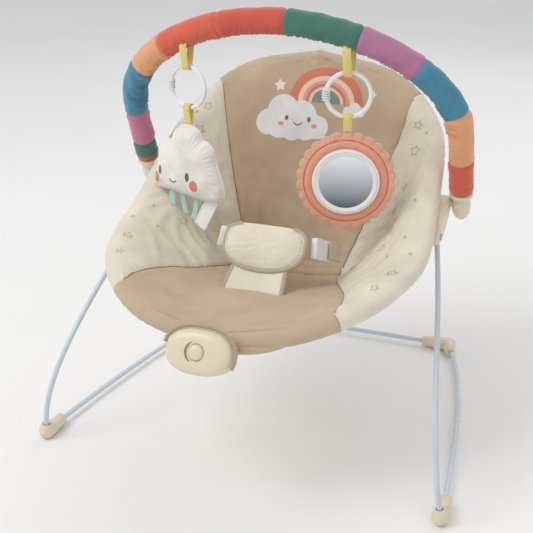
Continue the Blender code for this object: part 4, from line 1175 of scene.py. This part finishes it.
def build_ribbons():
    line = bar_line(2001)
    top = line[line[:, 2] > PIVOT[2] + 0.15]
    turn = once_round(20)
    radius = RING_R + RING_WIRE_R * np.cos(turn)
    for side, x, yaw in (("left", CLOUD_PLACE[0], CLOUD_YAW), ("right", FLOWER_PLACE[0], FLOWER_YAW)):
        bar = top[np.argmin(np.abs(top[:, 0] - x))]
        ribbon_from(f"ribbon_loop_{side}", f"ribbon_loop_{side}_woven", "toy_bar", YELLOW_RIBBON,
                    bar)
        low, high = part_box(f"ring_{side}")
        place = toy_place(x, (low.y + high.y) / 2, (low.z + high.z) / 2, yaw)
        for number in range(5):
            angle = math.pi + (number - 2) * 0.105
            flat = np.stack([radius * math.cos(angle), radius * math.sin(angle)], axis=1)
            bead = np.column_stack([flat, RING_WIRE_R * np.sin(turn)])
            points, faces = swept(bead, round_section(0.0009, 8), across=(0, 0, 1), closed=True)
            make(f"ring_{side}_rib_{number + 1}", place(points), faces, WHITE_PLASTIC, f"ring_{side}")


# ---- vibration unit trims and painted shadow ----
UNIT = np.array((0, -0.2655, 0.2035)) + SHIFT
UNIT_TILT = math.radians(25)
UNIT_LOCAL = place_at(UNIT, (1, 0, 0), (0, math.sin(UNIT_TILT), math.cos(UNIT_TILT)))
UNIT_HALF = (0.0375, 0.0245)


def unit_edge(offset, start, end, count, height):
    """Points round the unit's oval between two angles in degrees, at a local height."""
    angle = np.radians(np.linspace(start, end, count))
    c = np.cos(angle)
    s = np.sin(angle)
    x = (UNIT_HALF[0] + offset) * np.sign(c) * np.abs(c) ** (2 / 2.4)
    y = (UNIT_HALF[1] + offset) * np.sign(s) * np.abs(s) ** (2 / 2.4)
    return np.column_stack([x, y, np.full(count, height)])


def build_unit_trims_and_painted_shadow():
    path = resampled(unit_edge(0.0036, 172, -22, 90, 0.0030), 70)
    radial = unit_rows(np.cross((0, 0, 1.0), along_path(path)))
    points, faces = swept(path, strap_section(0.0044, 0.0034, 7, 0.0006), across=radial)
    make("unit_binding", UNIT_LOCAL(points), faces, BINDING, "seat")
    line = path + radial * 0.0018 + np.array((0, 0, 0.0022))
    stitches("unit_binding_stitches", UNIT_LOCAL(line), "seat", material=STRAP)

    # Dark crescent left of the switch on the unit's face: a painted shadow.
    path = raised(arc(118, 242, 40) * 0.0120, 0.0128)
    sizes = np.sin(np.linspace(0.12, 0.88, 40) * math.pi)
    outward = raised(arc(118, 242, 40), 0.0)
    points, faces = swept(path, oval(0.0016, 0.0007, 10), across=outward, sizes=sizes)
    make("unit_crescent_painted_shadow", UNIT_LOCAL(points), faces, PAINTED_SHADE_PLASTIC, "seat")


def build_front_tuck():
    """Fabric that gathers under the front roll beside the vibration unit."""
    u = np.linspace(0.028, 0.125, 34)
    tube, up, out = rim_frames(u)
    swell = np.sin(np.linspace(0.25, 1.0, 34) * math.pi) ** 0.7 + 0.04
    path = tube - up * (ROLL_R * 0.72) + out * 0.001 + SHIFT
    points, faces = swept(path, oval(0.0105, 0.0075, 16), across=(0, 1, 0), sizes=swell)
    tuck = make("front_tuck", points, faces, TAUPE, "seat")


# ---- hub and pod details ----
def build_hub_details(side, sign):
    local = place_at((sign * 0.1860, HUB.y - 0.0375, HUB.z - 0.0200), (1, 0, 0), (0, -0.45, 0.89))
    # The dark ring round each white cap is painted shade in the gap between cap and hub.
    outline = oval(0.0036, 0.0080, 40)
    points, faces = swept(raised(outline, 0.0012), round_section(0.0007, 8), across=(0, 0, 1), closed=True)
    make(f"hub_cap_painted_shade_ring_{side}", local(points), faces, PAINTED_SHADE_PLASTIC, "seat")
    points, faces = puffed(outline, np.zeros(2), 6, lambda p, d: 0.0008 + 0.2 * d,
                           lambda p, d: np.full(len(p), -0.0030))
    make(f"hub_cap_{side}", local(points), faces, WHITE_PLASTIC, "seat")

    up = unit_rows(np.array((0, -BAR_LEAN, BAR_RISE)))
    travel = np.linspace(-0.0228, 0.0150, 30)
    path = np.array((sign * PIVOT[0], PIVOT[1], PIVOT[2])) + SHIFT + travel[:, None] * up
    sizes = 0.0116 * np.sqrt(np.clip(1 - ((travel + 0.0030) / 0.0200) ** 2, 0.01, 1))
    points, faces = swept(path, round_section(1.0, 28), across=(1, 0, 0), sizes=sizes)
    make(f"toy_bar_pod_cap_{side}", points, faces, CREAM_PLASTIC, "toy_bar")


# ---- finishes for the frame's own pieces ----
FINISHES = {
    "cream_plastic": CREAM_PLASTIC, "white_plastic": WHITE_PLASTIC, "white_wire": WHITE_WIRE, "steel": STEEL,
    "circuit_board": BOARD, "cell_jacket": CELL, "brass": BRASS,
}


def finish_frame_nodes():
    low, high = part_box("mirror_plate")
    # the mirror's colour gradient is a painted reflection
    FINISHES["mirror"] = mirror_painted_reflection("mirror_painted_reflection", low.z, high.z)
    slots = {part["node"]: part["material_slot"] for part in frame["record"]["subparts"]}
    for name, item in NODES.items():
        material = FINISHES.get(slots.get(name))
        if item.hide_render or material is None:
            continue
        item.data.materials.clear()
        item.data.materials.append(material)
        if "custom_normal" in item.data.attributes:
            item.data.attributes.remove(item.data.attributes["custom_normal"])
        item.data.polygons.foreach_set("use_smooth", [True] * len(item.data.polygons))
        weld = item.modifiers.new("weld", "WELD")
        weld.merge_threshold = 1e-5
        split = item.modifiers.new("edges", "EDGE_SPLIT")
        split.split_angle = math.radians(42)


# ---- floor, light and camera ----
def build_studio():
    size = 30.0
    mesh = bpy.data.meshes.new("floor")
    corners = [(-size, -size, 0), (size, -size, 0), (size, size, 0), (-size, size, 0)]
    mesh.from_pydata(corners, [], [(0, 1, 2, 3)])
    floor = bpy.data.objects.new("floor", mesh)
    made = Nodes("pale_floor")
    base = made.between(made.noise(3.0, 2.0), grey(0.88), grey(0.90))
    made.paint(base)
    mesh.materials.append(made.surface(Roughness=0.9))
    bpy.context.scene.collection.objects.link(floor)

    world = bpy.data.worlds.new("studio")
    world.use_nodes = True
    sky = world.node_tree.nodes["Background"]
    sky.inputs["Color"].default_value = grey(1.0)
    sky.inputs["Strength"].default_value = 0.80
    bpy.context.scene.world = world
    bpy.context.scene.view_settings.view_transform = "Standard"
    bpy.context.scene.view_settings.exposure = -0.28
    for name, place, power, width in (("key", (-1.3, -1.3, 2.3), 34, 1.3), ("fill", (1.9, -1.2, 1.3), 4, 2.0),
                                      ("back", (0.3, 1.8, 1.9), 12, 1.6)):
        lamp = bpy.data.lights.new(name, "AREA")
        lamp.energy = power
        lamp.size = width
        item = bpy.data.objects.new(name, lamp)
        item.location = place
        item.rotation_euler = (Vector((0, 0, 0.25)) - Vector(place)).to_track_quat("-Z", "Y").to_euler()
        bpy.context.scene.collection.objects.link(item)


def build_camera():
    camera = bpy.data.objects.new("camera", bpy.data.cameras.new("camera"))
    back = Vector((0.3309, -0.8637, 0.3801))
    camera.location = (0.410, -1.1206, 0.6978)
    camera.rotation_euler = (-back).to_track_quat("-Z", "Y").to_euler()
    camera.data.lens = 68.8
    camera.data.sensor_width = 36.0
    bpy.context.scene.collection.objects.link(camera)
    bpy.context.scene.camera = camera


def main():
    panels = build_cover()
    build_seams()
    build_back_print(panels["back"])
    build_side_prints(panels)
    build_crotch_pad()
    build_crotch_strap()
    for side, sign in SIDES:
        build_waist(side, sign)
        build_hub_details(side, sign)
    build_sleeve()
    build_ribbons()
    build_cloud()
    build_flower()
    build_unit_trims_and_painted_shadow()
    build_front_tuck()
    finish_frame_nodes()
    build_studio()
    build_camera()


main()
